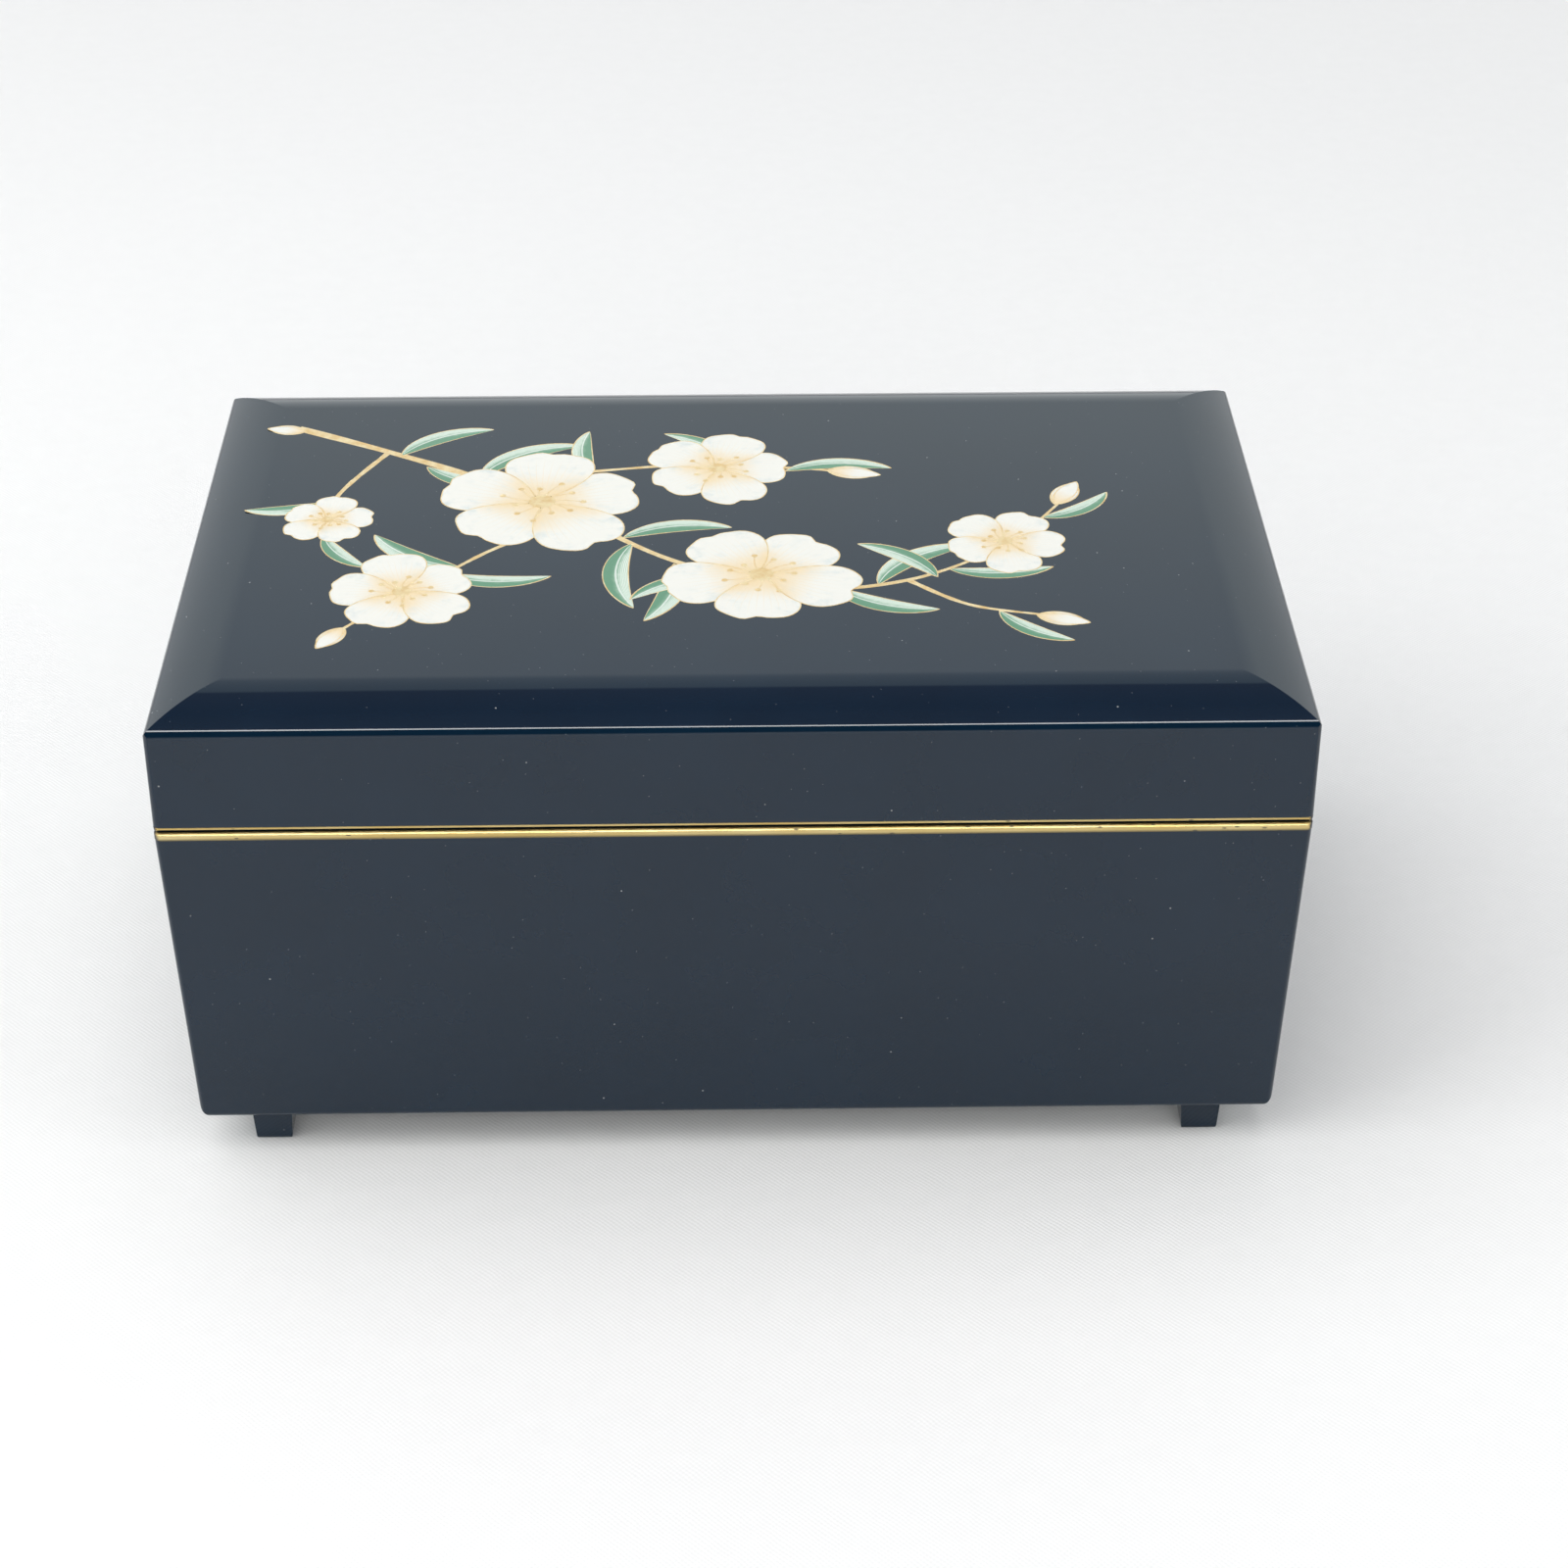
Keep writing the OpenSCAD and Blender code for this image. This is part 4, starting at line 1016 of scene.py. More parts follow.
@dataclass
class NodeDresser:
    """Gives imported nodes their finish, smooth curves and eased edges."""

    join_gap: float = 0.0005
    flat_angle: float = 0.4
    smooth_angle: float = 28.0
    mitre_slant: float = 0.2
    ease_width: float = 0.1
    ease_angle: float = 35.0

    def __post_init__(self) -> None:
        """Makes the geometry groups that the nodes share."""
        self.joined = self.group("joined_faces", self.join)
        self.smoothed = self.group("smooth_curves", self.smooth)
        self.mitred = self.group("smooth_but_mitres", self.mitre)

    def group(self, name: str, build: Callable[[Nodes, Socket], Socket]) -> bpy.types.NodeTree:
        """Makes a geometry group with one input and one output.

        Args:
            name: The group's name.
            build: Adds what stands between its two ends.

        Returns:
            The group.
        """
        tree = bpy.data.node_groups.new(name, "GeometryNodeTree")
        for way in ("INPUT", "OUTPUT"):
            tree.interface.new_socket("Geometry", in_out=way, socket_type="NodeSocketGeometry")
        nodes = Nodes(tree)
        nodes.end("NodeGroupOutput", build(nodes, nodes.node("NodeGroupInput")))
        return tree

    def join(self, nodes: Nodes, shape: Socket) -> Socket:
        """Joins the faces that share an edge, and drops stored normals.

        Args:
            nodes: The group.
            shape: The geometry.

        Returns:
            The joined geometry.
        """
        plain = nodes.node("GeometryNodeRemoveAttribute", None, {0: shape, "Name": "custom_normal"})
        gap = self.join_gap * MM
        return nodes.node("GeometryNodeMergeByDistance", None, {"Geometry": plain, "Distance": gap})

    def smooth(self, nodes: Nodes, shape: Socket) -> Socket:
        """Shades smooth across every shallow edge."""
        return self.shade(nodes, shape, self.shallow(nodes))

    def mitre(self, nodes: Nodes, shape: Socket) -> Socket:
        """Shades smooth across shallow edges, but not across mitres.

        Args:
            nodes: The group.
            shape: The geometry.

        Returns:
            The shaded geometry.
        """
        ends = [nodes.node("GeometryNodeInputMeshEdgeVertices", out=f"Position {i}") for i in (1, 2)]
        way = nodes.vector("NORMALIZE", nodes.vector("SUBTRACT", *ends))
        x, y, _ = nodes.parts(nodes.vector("ABSOLUTE", way))
        slanted = self.compare(nodes, "GREATER_THAN", nodes.math("MINIMUM", x, y), self.mitre_slant)
        chosen = {0: self.shallow(nodes), 1: slanted}
        return self.shade(nodes, shape, nodes.node("FunctionNodeBooleanMath", {"operation": "NIMPLY"}, chosen))

    def compare(self, nodes: Nodes, operation: str, value: Socket, limit: float) -> Socket:
        """Compares a value with a limit.

        Args:
            nodes: The group.
            operation: The node's operation.
            value: The value.
            limit: The limit.

        Returns:
            True or false.
        """
        settings = {"data_type": "FLOAT", "operation": operation}
        return nodes.node("FunctionNodeCompare", settings, {0: value, 1: limit})

    def shallow(self, nodes: Nodes) -> Socket:
        """True at every edge below the smooth angle."""
        angle = nodes.node("GeometryNodeInputMeshEdgeAngle")
        return self.compare(nodes, "LESS_THAN", angle, math.radians(self.smooth_angle))

    def shade(self, nodes: Nodes, shape: Socket, smooth: Socket) -> Socket:
        """Shades all faces smooth, and only the chosen edges.

        Args:
            nodes: The group.
            shape: The geometry.
            smooth: True at the edges that stay smooth.

        Returns:
            The shaded geometry.
        """
        kind = "GeometryNodeSetShadeSmooth"
        faces = nodes.node(kind, None, {"Geometry": shape, "Shade Smooth": True})
        return nodes.node(kind, {"domain": "EDGE"}, {"Geometry": faces, "Shade Smooth": smooth})

    def dress(self, nodes: Iterable[str], finish: Finish, kind: EdgeKind) -> None:
        """Dresses some nodes.

        Args:
            nodes: Names of the nodes.
            finish: Their material.
            kind: How their edges are dressed.
        """
        for name in nodes:
            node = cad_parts[name]
            node.data.materials.clear()
            node.data.materials.append(finish.material())
            node.modifiers.new("joined", "NODES").node_group = self.joined
            flat = node.modifiers.new("flat", "DECIMATE")
            flat.decimate_type = "DISSOLVE"
            flat.angle_limit = math.radians(self.flat_angle)
            if kind is EdgeKind.EASED:
                ease = node.modifiers.new("eased", "BEVEL")
                ease.width = self.ease_width * MM
                ease.segments = 2
                ease.limit_method = "ANGLE"
                ease.angle_limit = math.radians(self.ease_angle)
                ease.use_clamp_overlap = True
            group = self.mitred if kind is EdgeKind.MITRED else self.smoothed
            node.modifiers.new("smoothed", "NODES").node_group = group
            node.modifiers.new("weighed", "WEIGHTED_NORMAL").keep_sharp = True
            log.info("dressed %s in %s", name, finish.name)


@dataclass
class Blossom:
    """One round-petalled blossom of the inlay."""

    x: float
    y: float
    radius: float
    turn: float
    petals: int = 5


@dataclass
class Leaf:
    """One leaf of the inlay: its foot, size, direction and bend."""

    x: float
    y: float
    length: float
    width: float
    angle: float
    bend: float = 0.0


class Layer(Enum):
    """Heights of the inlay's layers over the lid's top, in millimetres."""

    SHEET = -0.02
    STEM = 0.003
    LEAF = 0.006
    BUD = 0.014
    BLOSSOM = 0.02


@dataclass
class LidInlay:
    """A bough with round blossoms, let into the top of the lid."""

    top: float
    line: float = 0.16
    lift: float = 0.0012
    stem_step: float = 0.0004
    leaf_step: float = 0.0003
    bough_wide: float = 1.5
    twig_wide: float = 0.9
    tip_wide: float = 0.45
    threads: int = 11
    grid: int = 15
    boughs: list[list[tuple[float, float]]] = field(default_factory=lambda: [
        [(-64, 33), (-50, 25), (-36, 16), (-22, 4), (-8, -9), (8, -17), (24, -15), (38, -5), (47, 8)],
        [(-36, 16), (-22, 18), (-6, 20), (8, 18)],
        [(-22, 4), (-34, -6), (-44, -18)],
        [(-50, 25), (-56, 12), (-58, 0)],
        [(24, -15), (32, -22), (42, -25)],
        [(2, 18.8), (9, 18.9), (14.8, 17.8)],
        [(-45, -17), (-48.5, -22.5), (-52.3, -27.5)],
    ])
    blossoms: list[Blossom] = field(default_factory=lambda: [
        Blossom(-27, 9, 14.5, 14),
        Blossom(4, -13, 13.0, 50),
        Blossom(-2, 19, 10.5, 0),
        Blossom(-45, -17, 10.0, 30),
        Blossom(38, -4, 8.5, 62),
        Blossom(-57, 4, 6.5, 8),
    ])
    buds: list[Leaf] = field(default_factory=lambda: [
        Leaf(46, 7, 7.5, 3.2, 62), Leaf(41, -25, 7.0, 3.0, -18), Leaf(14, 18, 7.5, 3.2, -12),
        Leaf(-63, 32, 5.5, 2.6, 170), Leaf(-52, -27, 6.0, 2.8, -120),
    ])
    leaves: list[Leaf] = field(default_factory=lambda: [
        Leaf(-48, 24, 15, 3.2, 62, -30), Leaf(-44, 20, 14, 3.0, -52, 26), Leaf(-36, 17, 17, 3.6, 70, -36),
        Leaf(-15, -2, 15, 3.2, 40, -30), Leaf(-14, -4, 18, 3.4, -118, 30), Leaf(-8, -10, 16, 3.4, -80, -24),
        Leaf(14, -17, 15, 3.2, -52, 28), Leaf(20, -16, 17, 3.4, 74, -34), Leaf(28, -14, 14, 3.0, 112, 26),
        Leaf(30, -12, 14, 2.8, -22, 24), Leaf(-40, -12, 15, 3.0, -34, 30), Leaf(-38, -10, 15, 3.2, 168, -26),
        Leaf(-58, 9, 11, 2.6, 214, -24), Leaf(8, 18, 15, 3.0, 32, -30), Leaf(0, 20, 14, 2.8, 104, 30),
        Leaf(44, 3, 12, 2.6, 10, 28), Leaf(36, -24, 12, 2.6, -66, 26), Leaf(-20, 18, 13, 2.8, 118, -24),
        Leaf(-2, -14, 13, 2.8, 176, 30), Leaf(-57, -1, 11, 2.5, -78, 24),
    ])

    def petal(self, blossom: Blossom, index: int, grow: float) -> np.ndarray:
        """Places of one petal.

        Args:
            blossom: The blossom.
            index: Which petal.
            grow: How much the outline stands out.

        Returns:
            A grid of places.
        """
        disc = disc_grid(self.grid)
        along = (disc[..., 0] + 1) / 2
        angle = math.radians(blossom.turn + 360 / blossom.petals * index)
        sway = 1 + 0.07 * math.sin(index * 2.4 + blossom.x)
        reach = blossom.radius * (0.1 + 0.92 * sway * along)
        notch = 0.06 * blossom.radius * np.exp(-(disc[..., 1] / 0.16) ** 2) * along ** 6
        ripple = 0.02 * blossom.radius * np.sin(disc[..., 1] * 7 + index) * along ** 3
        spread = blossom.radius * 0.52 * disc[..., 1] * (0.42 + 0.66 * along ** 0.8)
        reach = reach - notch + ripple + grow * disc[..., 0]
        spread = spread + grow * disc[..., 1] * 1.1
        c, s = math.cos(angle), math.sin(angle)
        return np.stack(
            [blossom.x + reach * c - spread * s, blossom.y + reach * s + spread * c], axis=-1
        )

    def blade(self, leaf: Leaf, grow: float) -> np.ndarray:
        """Places of one leaf or bud.

        Args:
            leaf: The leaf.
            grow: How much the outline stands out.

        Returns:
            A grid of places.
        """
        disc = disc_grid(self.grid)
        along = (disc[..., 0] + 1) / 2
        taper = np.clip(1 - disc[..., 0] ** 2, 0.002, 1) ** 0.32
        reach = leaf.length * along + grow * disc[..., 0] * 1.6
        spread = (leaf.width / 2 * taper + grow) * disc[..., 1]
        spine = np.radians(leaf.angle + leaf.bend * along)
        side = np.radians(leaf.angle + leaf.bend * along * 2)
        return np.stack(
            [leaf.x + reach * np.cos(spine) - spread * np.sin(side),
             leaf.y + reach * np.sin(spine) + spread * np.cos(side)], axis=-1
        )

    def ribbon(self, line: np.ndarray, wide: float, narrow: float) -> np.ndarray:
        """Places of a stem along a line.

        Args:
            line: The line.
            wide: Width at its start.
            narrow: Width at its end.

        Returns:
            A grid of places.
        """
        way = np.gradient(line, axis=0)
        way /= np.linalg.norm(way, axis=1, keepdims=True)
        side = np.stack([-way[:, 1], way[:, 0]], axis=-1)
        share = np.linspace(0, 1, len(line))[:, None]
        half = (wide + (narrow - wide) * share) / 2
        knots = 1 + 0.12 * np.sin(share * 37.0)
        return np.stack([line - side * half * knots, line, line + side * half * knots], axis=1)

    def build(self) -> None:
        """Makes the four pieces of the inlay."""
        stems, lines, leaves, petals = (MeshMaker() for _ in range(4))
        low = self.top + Layer.SHEET.value
        for i, points in enumerate(self.boughs):
            height = self.top + Layer.STEM.value - i * self.stem_step
            wide = self.twig_wide if i else self.bough_wide
            stems.slip(self.ribbon(spline(points, 8), wide, self.tip_wide), height, low)
        for i, leaf in enumerate(self.leaves):
            height = self.top + Layer.LEAF.value + i * self.leaf_step
            lines.slip(self.blade(leaf, self.line), height, low)
            leaves.slip(self.blade(leaf, 0.0), height + self.leaf_step / 2, low)
        for bud in self.buds:
            for k, (turn, share) in enumerate(((-16, 0.9), (16, 0.92), (0, 1.0))):
                height = self.top + Layer.BUD.value + k * self.lift
                part = Leaf(bud.x, bud.y, bud.length * share, bud.width * 0.8, bud.angle + turn, -turn)
                lines.slip(self.blade(part, self.line), height, low)
                petals.slip(self.blade(part, 0.0), height + self.lift / 2, low)
        for blossom in self.blossoms:
            base = self.top + Layer.BLOSSOM.value
            for k in range(blossom.petals):
                height = base + k * self.lift
                lines.slip(self.petal(blossom, k, self.line), height, low)
                petals.slip(self.petal(blossom, k, 0.0), height + self.lift / 2, low)
            self.heart(blossom, lines, base + blossom.petals * self.lift, low)
        gold = GoldLine()
        for maker, name, finish, slot in (
            (stems, "inlay_bough", gold, "gilt"),
            (lines, "inlay_gold_lines", gold, "gilt"),
            (leaves, "inlay_leaves", LeafEnamel(), "lacquer"),
            (petals, "inlay_petals", PetalEnamel(), "lacquer"),
        ):
            maker.finish(name, "lid", finish, False)

    def heart(self, blossom: Blossom, lines: MeshMaker, height: float, low: float) -> None:
        """Adds the threads and dots at a blossom's heart.

        Args:
            blossom: The blossom.
            lines: The mesh they go into.
            height: Height of the first thread.
            low: Height of their undersides.
        """
        middle = np.array([blossom.x, blossom.y])
        for k in range(self.threads):
            angle = math.radians(blossom.turn + 17 + 360 / self.threads * k)
            way = np.array([math.cos(angle), math.sin(angle)])
            side = np.array([-way[1], way[0]])
            reach = blossom.radius * (0.34 + 0.08 * math.sin(k * 2.1))
            tip = middle + reach * way
            thread = spline([middle, (middle + tip) / 2 + side * reach * 0.08, tip], 4)
            lines.slip(self.ribbon(thread, 0.16, 0.12), height + k * 0.0002, low)
            lines.slip(tip + disc_grid(5) * (0.24 + 0.016 * blossom.radius), height + 0.003, low)
        lines.slip(middle + disc_grid(9) * blossom.radius * 0.13, height + 0.0035, low)


@dataclass
class VelvetWork:
    """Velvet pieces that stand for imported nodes."""

    velvet: Velvet

    def settle(self, maker: MeshMaker, name: str, body: str, node: str, fill: float) -> None:
        """Turns a mesh into the velvet piece that stands for a node.

        Args:
            maker: The mesh.
            name: The piece's name.
            body: The body it rides on.
            node: The node that it replaces.
            fill: How tightly it is stuffed; not used.
        """
        made = maker.finish(name, body, self.velvet)
        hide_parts(node)


@dataclass
class JewelBay(VelvetWork):
    """Velvet pieces of the bay: floor, lining, boards and ring rolls. Sizes are in millimetres."""

    pad_edge: float = 0.7
    pad_sink: float = 0.45
    pad_seam: float = 0.5
    pad_cell: float = 1.6
    bed_edge: float = 1.2
    bed_cell: float = 4.0
    lining: float = 1.2
    lining_corners: tuple[float, float] = (1.4, 1.0)
    lining_sag: float = 0.16
    hem_round: float = 0.45
    hem_seam: Triple = (1.6, 2.0, 2.5)
    seam_depth: float = 0.3
    board_foot: float = 0.2
    board_pinch: float = 0.25
    roll_gap: float = 0.3
    roll_slack: float = 0.3
    roll_end: float = 2.2
    roll_sides: int = 36

    def build(self) -> None:
        """Makes the six velvet pieces."""
        self.make_floor()
        low, high = corners("ring_roll_base")
        bed = self.cushion(low, high, self.bed_edge, 0.0, self.bed_cell)
        self.settle(bed, "ring_bed_velvet", "case", "ring_roll_base", 0.7)
        self.make_lining()
        self.make_board("partition", "partition_velvet", True)
        self.make_board("ring_divider", "ring_divider_velvet", False)
        self.make_rolls()

    def cushion(self, low: np.ndarray, high: np.ndarray, edge: float, sink: float, cell: float) -> MeshMaker:
        """A crowned pad that is flat underneath.

        Args:
            low: Lowest corner.
            high: Highest corner.
            edge: Rounding of the top edge.
            sink: How far the top lies below the highest corner.
            cell: Size of the cells of its top.

        Returns:
            The mesh.
        """
        size = high - low
        lines = []
        for length in size[:2]:
            inner = np.linspace(edge, length - edge, max(6, int(length / cell)))
            rim = np.array([0.0, 0.1, 0.4]) * edge
            lines.append(np.concatenate([rim, inner, length - rim[::-1]]))
        x, y = np.meshgrid(*lines, indexing="ij")
        near = np.minimum(np.minimum(x, size[0] - x), np.minimum(y, size[1] - y))
        fall = edge * (1 - np.sqrt(1 - (1 - np.clip(near / edge, 0, 1)) ** 2))
        maker = MeshMaker()
        maker.slip(np.stack([low[0] + x, low[1] + y, high[2] - sink - fall], axis=-1), None, low[2])
        return maker

    def make_floor(self) -> None:
        """The floor pad, swelled from a flat start."""
        low, high = corners("floor_pad")
        pad = self.cushion(low, high, self.pad_edge, self.pad_sink, self.pad_cell)
        places = np.array(pad.points)
        rim = np.minimum(places - low, high - places)[:, :2].min(axis=1)
        stuffing = Stuffing(pressure=0.4, slack=0.02, limit=self.pad_sink)
        stuffing.swell(pad, rim < self.pad_seam, lambda p: np.clip(p, low, high))
        self.settle(pad, "bay_floor_velvet", "case", "floor_pad", 0.6)

    def make_lining(self) -> None:
        """The lining of the bay's four sides, with a turned hem."""
        low, high = corners("bay_lining")
        centre, half = (low + high) / 2, (high - low) / 2
        thick, top = self.lining, high[2]
        turn = top - self.hem_round
        above, seam, below = (top - depth for depth in self.hem_seam)
        profile = [(0.0, low[2]), (0.0, turn)]
        for k in range(1, 7):
            a = math.pi * k / 6
            profile.append((thick / 2 * (1 - math.cos(a)), turn + self.hem_round * math.sin(a)))
        profile += [(thick, above), (thick - self.seam_depth, seam), (thick - 0.02, below)]
        for share in (k / 10 for k in range(1, 11)):
            sag = self.lining_sag * math.sin(math.pi * share) ** 2
            profile.append((thick - sag, below - (below - low[2]) * share))
        outer = loop_places(half[0], half[1], self.lining_corners[0], 30)
        inner = loop_places(half[0] - thick, half[1] - thick, self.lining_corners[1], 30)
        rings = []
        for a, b in zip(outer, inner):
            ripple = 0.05 * math.sin(a[0] * 0.8) * math.sin(a[1] * 0.6 + 0.4)
            ring = []
            for inset, height in reversed(profile):
                share = inset / thick * (1 + ripple if height < top - 3 else 1)
                ring.append((*(centre[:2] + a + (b - a) * min(1.0, share)), height))
            rings.append(ring)
        maker = MeshMaker()
        maker.loft(rings, True)
        self.settle(maker, "bay_lining_velvet", "case", "bay_lining", 0.3)

    def make_board(self, node: str, name: str, along_y: bool) -> None:
        """A velvet-covered board with a rounded top.

        Args:
            node: The node that it replaces.
            name: The piece's name.
            along_y: True if its length runs along Y.
        """
        low, high = corners(node)
        across, along = (0, 1) if along_y else (1, 0)
        half = (high[across] - low[across]) / 2
        middle = (high[across] + low[across]) / 2
        foot, crown, length = low[2], high[2] - half, high[along] - low[along]
        rise = [foot + self.board_foot, *(foot + (crown - foot) * k / 8 for k in range(1, 8))]
        arc = [math.pi * k / 10 for k in range(11)]
        section = [(0.1 - half, foot), *((-half, height) for height in rise)]
        section += [(-half * math.cos(a), crown + half * math.sin(a)) for a in arc]
        section += [*((half, height) for height in reversed(rise)), (half - 0.1, foot)]
        ends = [0.0, 0.15, 0.5]
        rings = []
        for stop in [*ends, *np.linspace(1.2, length - 1.2, 40), *(length - e for e in reversed(ends))]:
            pinch = self.board_pinch * max(0.0, 1 - min(stop, length - stop) / 0.5) ** 2
            puff = max(0.0, 0.04 * math.sin(stop * 0.9) * math.sin(stop * 0.37))
            ring = []
            for side, height in section:
                place = [0.0, 0.0, height - (pinch if height > crown else 0)]
                place[across] = middle + side * (1 - pinch - puff * 0.5)
                place[along] = low[along] + stop
                ring.append(tuple(place))
            rings.append(ring if along_y else ring[::-1])
        maker = MeshMaker()
        maker.loft(rings, False)
        self.settle(maker, name, "case", node, 0.4)

    def make_rolls(self) -> None:
        """Stuffed rolls side by side, with gathered ends."""
        low, high = corners("ring_rolls")
        length, width, depth = high - low
        count = int(round((width + self.roll_gap) / (depth + self.roll_gap)))
        step = (width + self.roll_gap) / count
        radius, middle = depth / 2, (high[2] + low[2]) / 2
        ends = [0.0, 0.08, 0.3, 0.7, 1.3, 2.1]
        stops = [*ends, *np.linspace(3.2, length - 3.2, 46), *(length - e for e in reversed(ends))]
        maker = MeshMaker()
        for i in range(count):
            centre = low[1] + radius + i * step
            rings = []
            for stop in stops:
                edge = min(stop, length - stop)
                curl = math.sqrt(max(0.0, 1 - max(0.0, 1 - edge / self.roll_end) ** 2))
                ring = []
                for a in (2 * math.pi * k / self.roll_sides for k in range(self.roll_sides)):
                    gather = 0.06 * math.sin(a * 12) * max(0.0, 1 - edge / 3.0)
                    r = (radius - self.roll_slack) * (0.32 + 0.68 * curl) * (1 - abs(gather))
                    ring.append((low[0] + stop, centre + r * math.cos(a), middle + r * math.sin(a)))
                rings.append(ring)
            maker.loft(rings, False)

        def confine(points: np.ndarray) -> np.ndarray:
            """Keeps every roll in its own round space.

            Args:
                points: Places, row by row.

            Returns:
                The places kept in.
            """
            row = np.clip(np.round((points[:, 1] - low[1] - radius) / step), 0, count - 1)
            y = points[:, 1] - (low[1] + radius + row * step)
            z = points[:, 2] - middle
            share = np.minimum(1.0, (radius - 0.03) / np.maximum(np.hypot(y, z), 1e-6))
            x = np.clip(points[:, 0], low[0], high[0])
            return np.stack([x, points[:, 1] - y * (1 - share), middle + z * share], axis=-1)

        places = np.array(maker.points)
        tied = np.minimum(places[:, 0] - low[0], high[0] - places[:, 0]) < 0.1
        sewn = places[:, 2] < low[2] + 0.5
        Stuffing(pressure=2.0, slack=0.05, limit=0.6).swell(maker, tied | sewn, confine)
        self.settle(maker, "ring_rolls_velvet", "case", "ring_rolls", 0.85)


@dataclass
class LidLining(VelvetWork):
    """The padded frame that holds the mirror in the lid. Sizes are in millimetres."""

    edge: float = 1.0
    lip: float = 1.2
    cover: float = 1.5
    corner: float = 3.0
    room: float = 0.1
    pocket: float = 0.3
    roll: float = 1.3
    sink: float = 0.8
    groove: float = 1.8
    cord: float = 0.6
    rows: int = 16
    places: int = 60

    def build(self) -> None:
        """Makes the frame: a puffed face, a piped sight edge and a pocket."""
        low, high = corners("lid_lining")
        half = (high - low) / 2
        glass_low, glass_high = corners("mirror")
        glass = (glass_high - glass_low) / 2
        outer = loop_places(half[0], half[1], self.edge, self.places)
        sight = loop_places(glass[0] - self.cover, glass[1] - self.cover, self.corner, self.places)
        pocket = loop_places(glass[0] + self.room, glass[1] + self.room, self.pocket, self.places)
        face, top, level, lip = low[2], high[2], low[2] + self.sink, low[2] + self.lip
        rings = []
        for a, b, c in zip(outer, sight, pocket):
            span = np.linalg.norm(b - a)
            way = (b - a) / span
            ring = [(*a, top), (*a, self.roll + level)]
            for t in (math.radians(18 * k) for k in range(1, 6)):
                ring.append((*(a + way * self.roll * (1 - math.cos(t))), level + self.roll * (1 - math.sin(t))))
            for share in (k / (self.rows + 1) for k in range(1, self.rows + 1)):
                ring.append((*(a + way * (self.roll + (span - self.roll - self.groove) * share)), level))
            ring.append((*(b - way * (self.groove - 0.2)), level + 0.1))
            for t in (math.radians(180 - 22.5 * k) for k in range(9)):
                ring.append((*(b - way * self.cord * (1 - math.cos(t))), face + self.cord * (1 - math.sin(t))))
            ring += [(*(b - way * 0.02), lip - 0.15), (*(b - way * 0.2), lip), (*c, lip), (*c, top)]
            rings.append(ring)
        row = np.arange(len(rings[0]))
        held = np.tile((row < 3) | (row > 6 + self.rows), len(rings))
        maker = MeshMaker()
        maker.loft(rings, True)
        stuffing = Stuffing(pressure=3.0, slack=0.06, limit=self.sink + 0.3)
        stuffing.swell(maker, held, lambda p: np.clip(p, low, high))
        self.settle(maker, "lid_lining_velvet", "lid", "lid_lining", 0.5)


@dataclass(frozen=True)
class Lamp:
    """A soft lamp that the gloss doesn't mirror. Sizes are in metres and its power in watts."""

    name: str
    place: Triple
    aim: Triple
    size: tuple[float, float]
    power: float

    def build(self) -> None:
        """Hangs the lamp and turns it to what it faces."""
        data = bpy.data.lights.new(self.name, "AREA")
        data.shape = "RECTANGLE"
        data.size, data.size_y = self.size
        data.energy = self.power
        made = bpy.data.objects.new(self.name, data)
        made.location = self.place
        way = Vector(self.aim) - Vector(self.place)
        made.rotation_euler = way.to_track_quat("-Z", "Y").to_euler()
        made.visible_glossy = False
        bpy.context.scene.collection.objects.link(made)


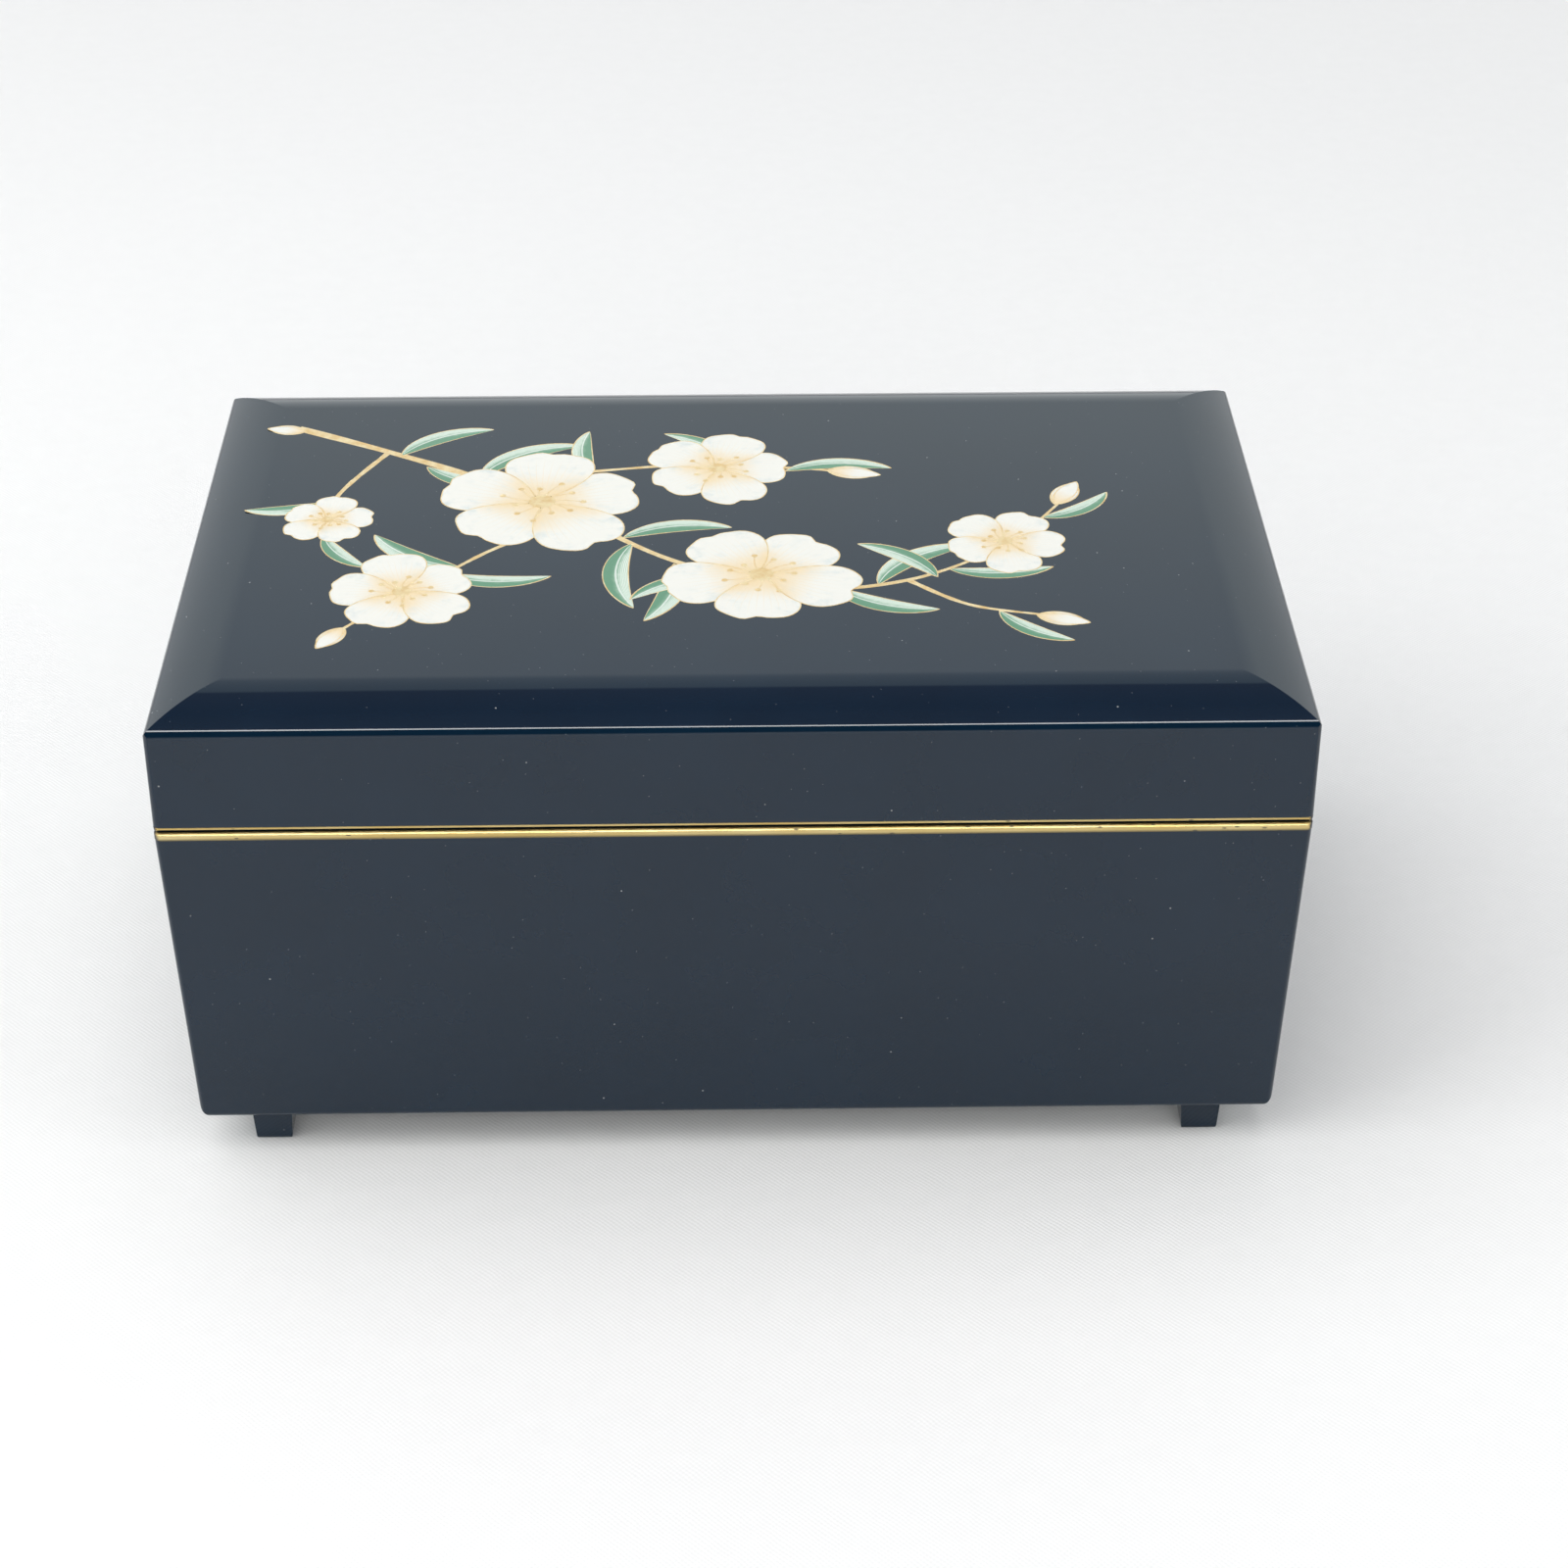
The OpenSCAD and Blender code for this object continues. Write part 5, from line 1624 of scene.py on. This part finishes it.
@dataclass
class Studio:
    """Pale floor, soft lamps, the room that the lacquer mirrors, and the camera."""

    lens: float = 78.4476
    sensor: float = 36.0
    eye: Triple = (0.136, -424.376, 297.711)
    tilt: Triple = (57.7335, 0.0188, -0.9778)
    floor_half: float = 4.0
    floor_gap: float = 0.02
    backdrop: Colour = (0.95, 0.95, 0.945)
    corner: Colour = (0.30, 0.32, 0.34)
    tube: Colour = (1.0, 1.0, 1.0)
    tube_level: float = 14.0
    tube_span: tuple[float, float] = (65.0, 77.5)
    walls: tuple[tuple[float, Colour], ...] = (
        (0.0, (1.08, 1.12, 1.12)),
        (26.0, (1.04, 1.12, 1.12)),
        (31.0, (0.82, 0.89, 0.94)),
        (36.0, (0.66, 0.73, 0.79)),
        (51.0, (0.60, 0.67, 0.73)),
        (53.5, (0.24, 0.19, 0.23)),
        (80.0, (0.20, 0.15, 0.19)),
        (101.0, (0.32, 0.27, 0.32)),
        (110.0, (0.03, 0.03, 0.035)),
        (168.0, (0.03, 0.03, 0.035)),
        (180.0, (0.9, 0.9, 0.9)),
    )
    lamps: tuple[Lamp, ...] = (
        Lamp("soft_top", (-0.35, -0.1, 1.3), (0.0, 0.0, 0.0), (1.6, 1.6), 12.5),
        Lamp("soft_front", (0.0, -1.5, 0.8), (0.0, 0.0, 0.02), (2.0, 0.9), 13.0),
        Lamp("soft_left", (-1.3, -0.6, 0.8), (0.0, 0.0, 0.04), (1.0, 1.0), 9.0),
        Lamp("soft_right", (1.3, -0.6, 0.8), (0.0, 0.0, 0.04), (1.0, 1.0), 4.0),
    )

    def build(self) -> None:
        """Sets up the stage."""
        self.floor()
        self.room()
        for lamp in self.lamps:
            lamp.build()
        self.camera()
        bpy.context.scene.view_settings.view_transform = "Standard"

    def floor(self) -> None:
        """A flat floor just under the feet."""
        half = self.floor_half
        sheet = [(-half, -half, 0), (half, -half, 0), (half, half, 0), (-half, half, 0)]
        mesh = bpy.data.meshes.new("pale_floor")
        mesh.from_pydata(sheet, [], [(0, 1, 2, 3)])
        mesh.materials.append(FloorCloth(self.backdrop).material())
        made = bpy.data.objects.new("pale_floor", mesh)
        made.location.z = -self.floor_gap * MM
        bpy.context.scene.collection.objects.link(made)

    def wall(self, shader: Shader, angle: Socket) -> Socket:
        """The room's colour at an angle.

        Args:
            shader: The world's nodes.
            angle: Degrees up from behind, over the top, to the front.

        Returns:
            The colour.
        """
        stops = [(place / 180.0, colour) for place, colour in self.walls]
        return shader.node("ShaderNodeValToRGB", {"stops": stops}, {0: angle / 180.0})

    def room(self) -> None:
        """A room that is pale behind and dim overhead, with a lamp tube that gloss mirrors."""
        world = bpy.data.worlds.new("studio_room")
        bpy.context.scene.world = world
        shader = Shader(world)
        x, y, z = shader.parts(shader.node("ShaderNodeTexCoord", out="Generated"))
        height = shader.math("ARCSINE", z) * (180 / math.pi)
        behind = self.wall(shader, height)
        ahead = self.wall(shader, 180.0 - height)
        walls = shader.mix(y.ease(-0.3, 0.3), ahead, behind)
        walls = shader.mix(abs(x).ease(0.15, 0.9) * 0.35, walls, self.corner)
        low, high = self.tube_span
        lit = height.ease(low, low + 2.0) * (1.0 - height.ease(high - 1.0, high))
        lit = lit * (1.0 - y.ease(-0.2, 0.0)) * (1.0 - abs(x).ease(0.18, 0.5))
        lit = lit * shader.node("ShaderNodeLightPath", out="Is Glossy Ray")
        seen = shader.node("ShaderNodeLightPath", out="Is Camera Ray")
        mirrored, tube, plain = (
            shader.node("ShaderNodeBackground", None, {"Color": colour, "Strength": level})
            for colour, level in ((walls, 1.0), (self.tube, self.tube_level), (self.backdrop, 1.0))
        )
        light = shader.blend(seen, shader.blend(lit, mirrored, tube), plain)
        shader.end("ShaderNodeOutputWorld", light)

    def camera(self) -> None:
        """The camera at the photograph's place."""
        data = bpy.data.cameras.new("camera")
        data.lens = self.lens
        data.sensor_width = self.sensor
        data.clip_start, data.clip_end = 0.01, 50.0
        made = bpy.data.objects.new("camera", data)
        made.location = [c * MM for c in self.eye]
        made.rotation_euler = Euler([math.radians(a) for a in self.tilt], "XYZ")
        bpy.context.scene.collection.objects.link(made)
        bpy.context.scene.camera = made


@dataclass
class JewelryBox:
    """The whole object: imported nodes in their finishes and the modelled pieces."""

    reveal: Triple = (0.4, 0.4, 0.2)
    lacquer_nodes: tuple[str, ...] = ("body_shell", "lid_shell", "feet")
    gilt_nodes: tuple[str, ...] = ("body_trim", "lid_trim")
    brass_nodes: tuple[str, ...] = (
        "hinge_leaf_body_left", "hinge_leaf_body_right", "hinge_leaf_lid_left", "hinge_leaf_lid_right",
        "hinge_pins", "hinge_screws_body", "hinge_screws_lid", "winding_key", "spring_barrel", "barrel_cap",
        "music_cylinder", "cylinder_gear", "worm_wheel", "fan_blades", "cylinder_bearing_left",
        "cylinder_bearing_right", "governor_bracket",
    )
    steel_nodes: tuple[str, ...] = (
        "comb", "comb_screws", "frame_screws", "click_spring", "movement_screws", "stop_spring",
        "winding_arbor", "mainspring", "tune_pins", "cylinder_arbor", "governor_arbor", "fan_arbor", "stop_rod",
    )

    def build(self) -> None:
        """Dresses the nodes and makes the other pieces."""
        self.dress()
        velvet = Velvet()
        JewelBay(velvet).build()
        LidLining(velvet).build()
        LidInlay(corners("lid_shell")[1][2]).build()

    def dress(self) -> None:
        """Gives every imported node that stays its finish."""
        dresser = NodeDresser()
        low, high = corners("lid_lining")
        low[2] = corners("floor_pad")[0][2]
        lacquer = Lacquer(tuple(low - self.reveal), tuple(high + self.reveal))
        dresser.dress(self.lacquer_nodes, lacquer, EdgeKind.MITRED)
        for node in self.gilt_nodes:
            low, high = corners(node)
            middle, half = (low + high) / 2, (high - low) / 2
            strip = Gilt(f"gilt_{node}", high[0], high[1], middle[2], half[2])
            dresser.dress((node,), strip, EdgeKind.MITRED)
        brass = Metal("warm_brass", (0.80, 0.56, 0.23), (0.42, 0.27, 0.11), 0.2)
        steel = Metal("ground_steel", (0.58, 0.59, 0.60), (0.36, 0.36, 0.36), 0.24)
        zinc = Metal("cast_zinc", (0.56, 0.56, 0.55), (0.40, 0.40, 0.39), 0.42, (1.4, 1.4, 1.4), 0.03, 0.4)
        dresser.dress(self.brass_nodes, brass, EdgeKind.EASED)
        dresser.dress(self.steel_nodes, steel, EdgeKind.SOFT)
        dresser.dress(("bedplate",), zinc, EdgeKind.EASED)
        dresser.dress(("movement_cover",), ClearSheet(), EdgeKind.EASED)
        dresser.dress(("mirror",), Silvering(), EdgeKind.EASED)
        dresser.dress(("mirror_card",), Card(), EdgeKind.SOFT)


def main() -> None:
    """Builds the stage and the box, in order."""
    logging.basicConfig(level=logging.INFO, format="%(message)s")
    Studio().build()
    JewelryBox().build()


if __name__ == "__main__":
    main()
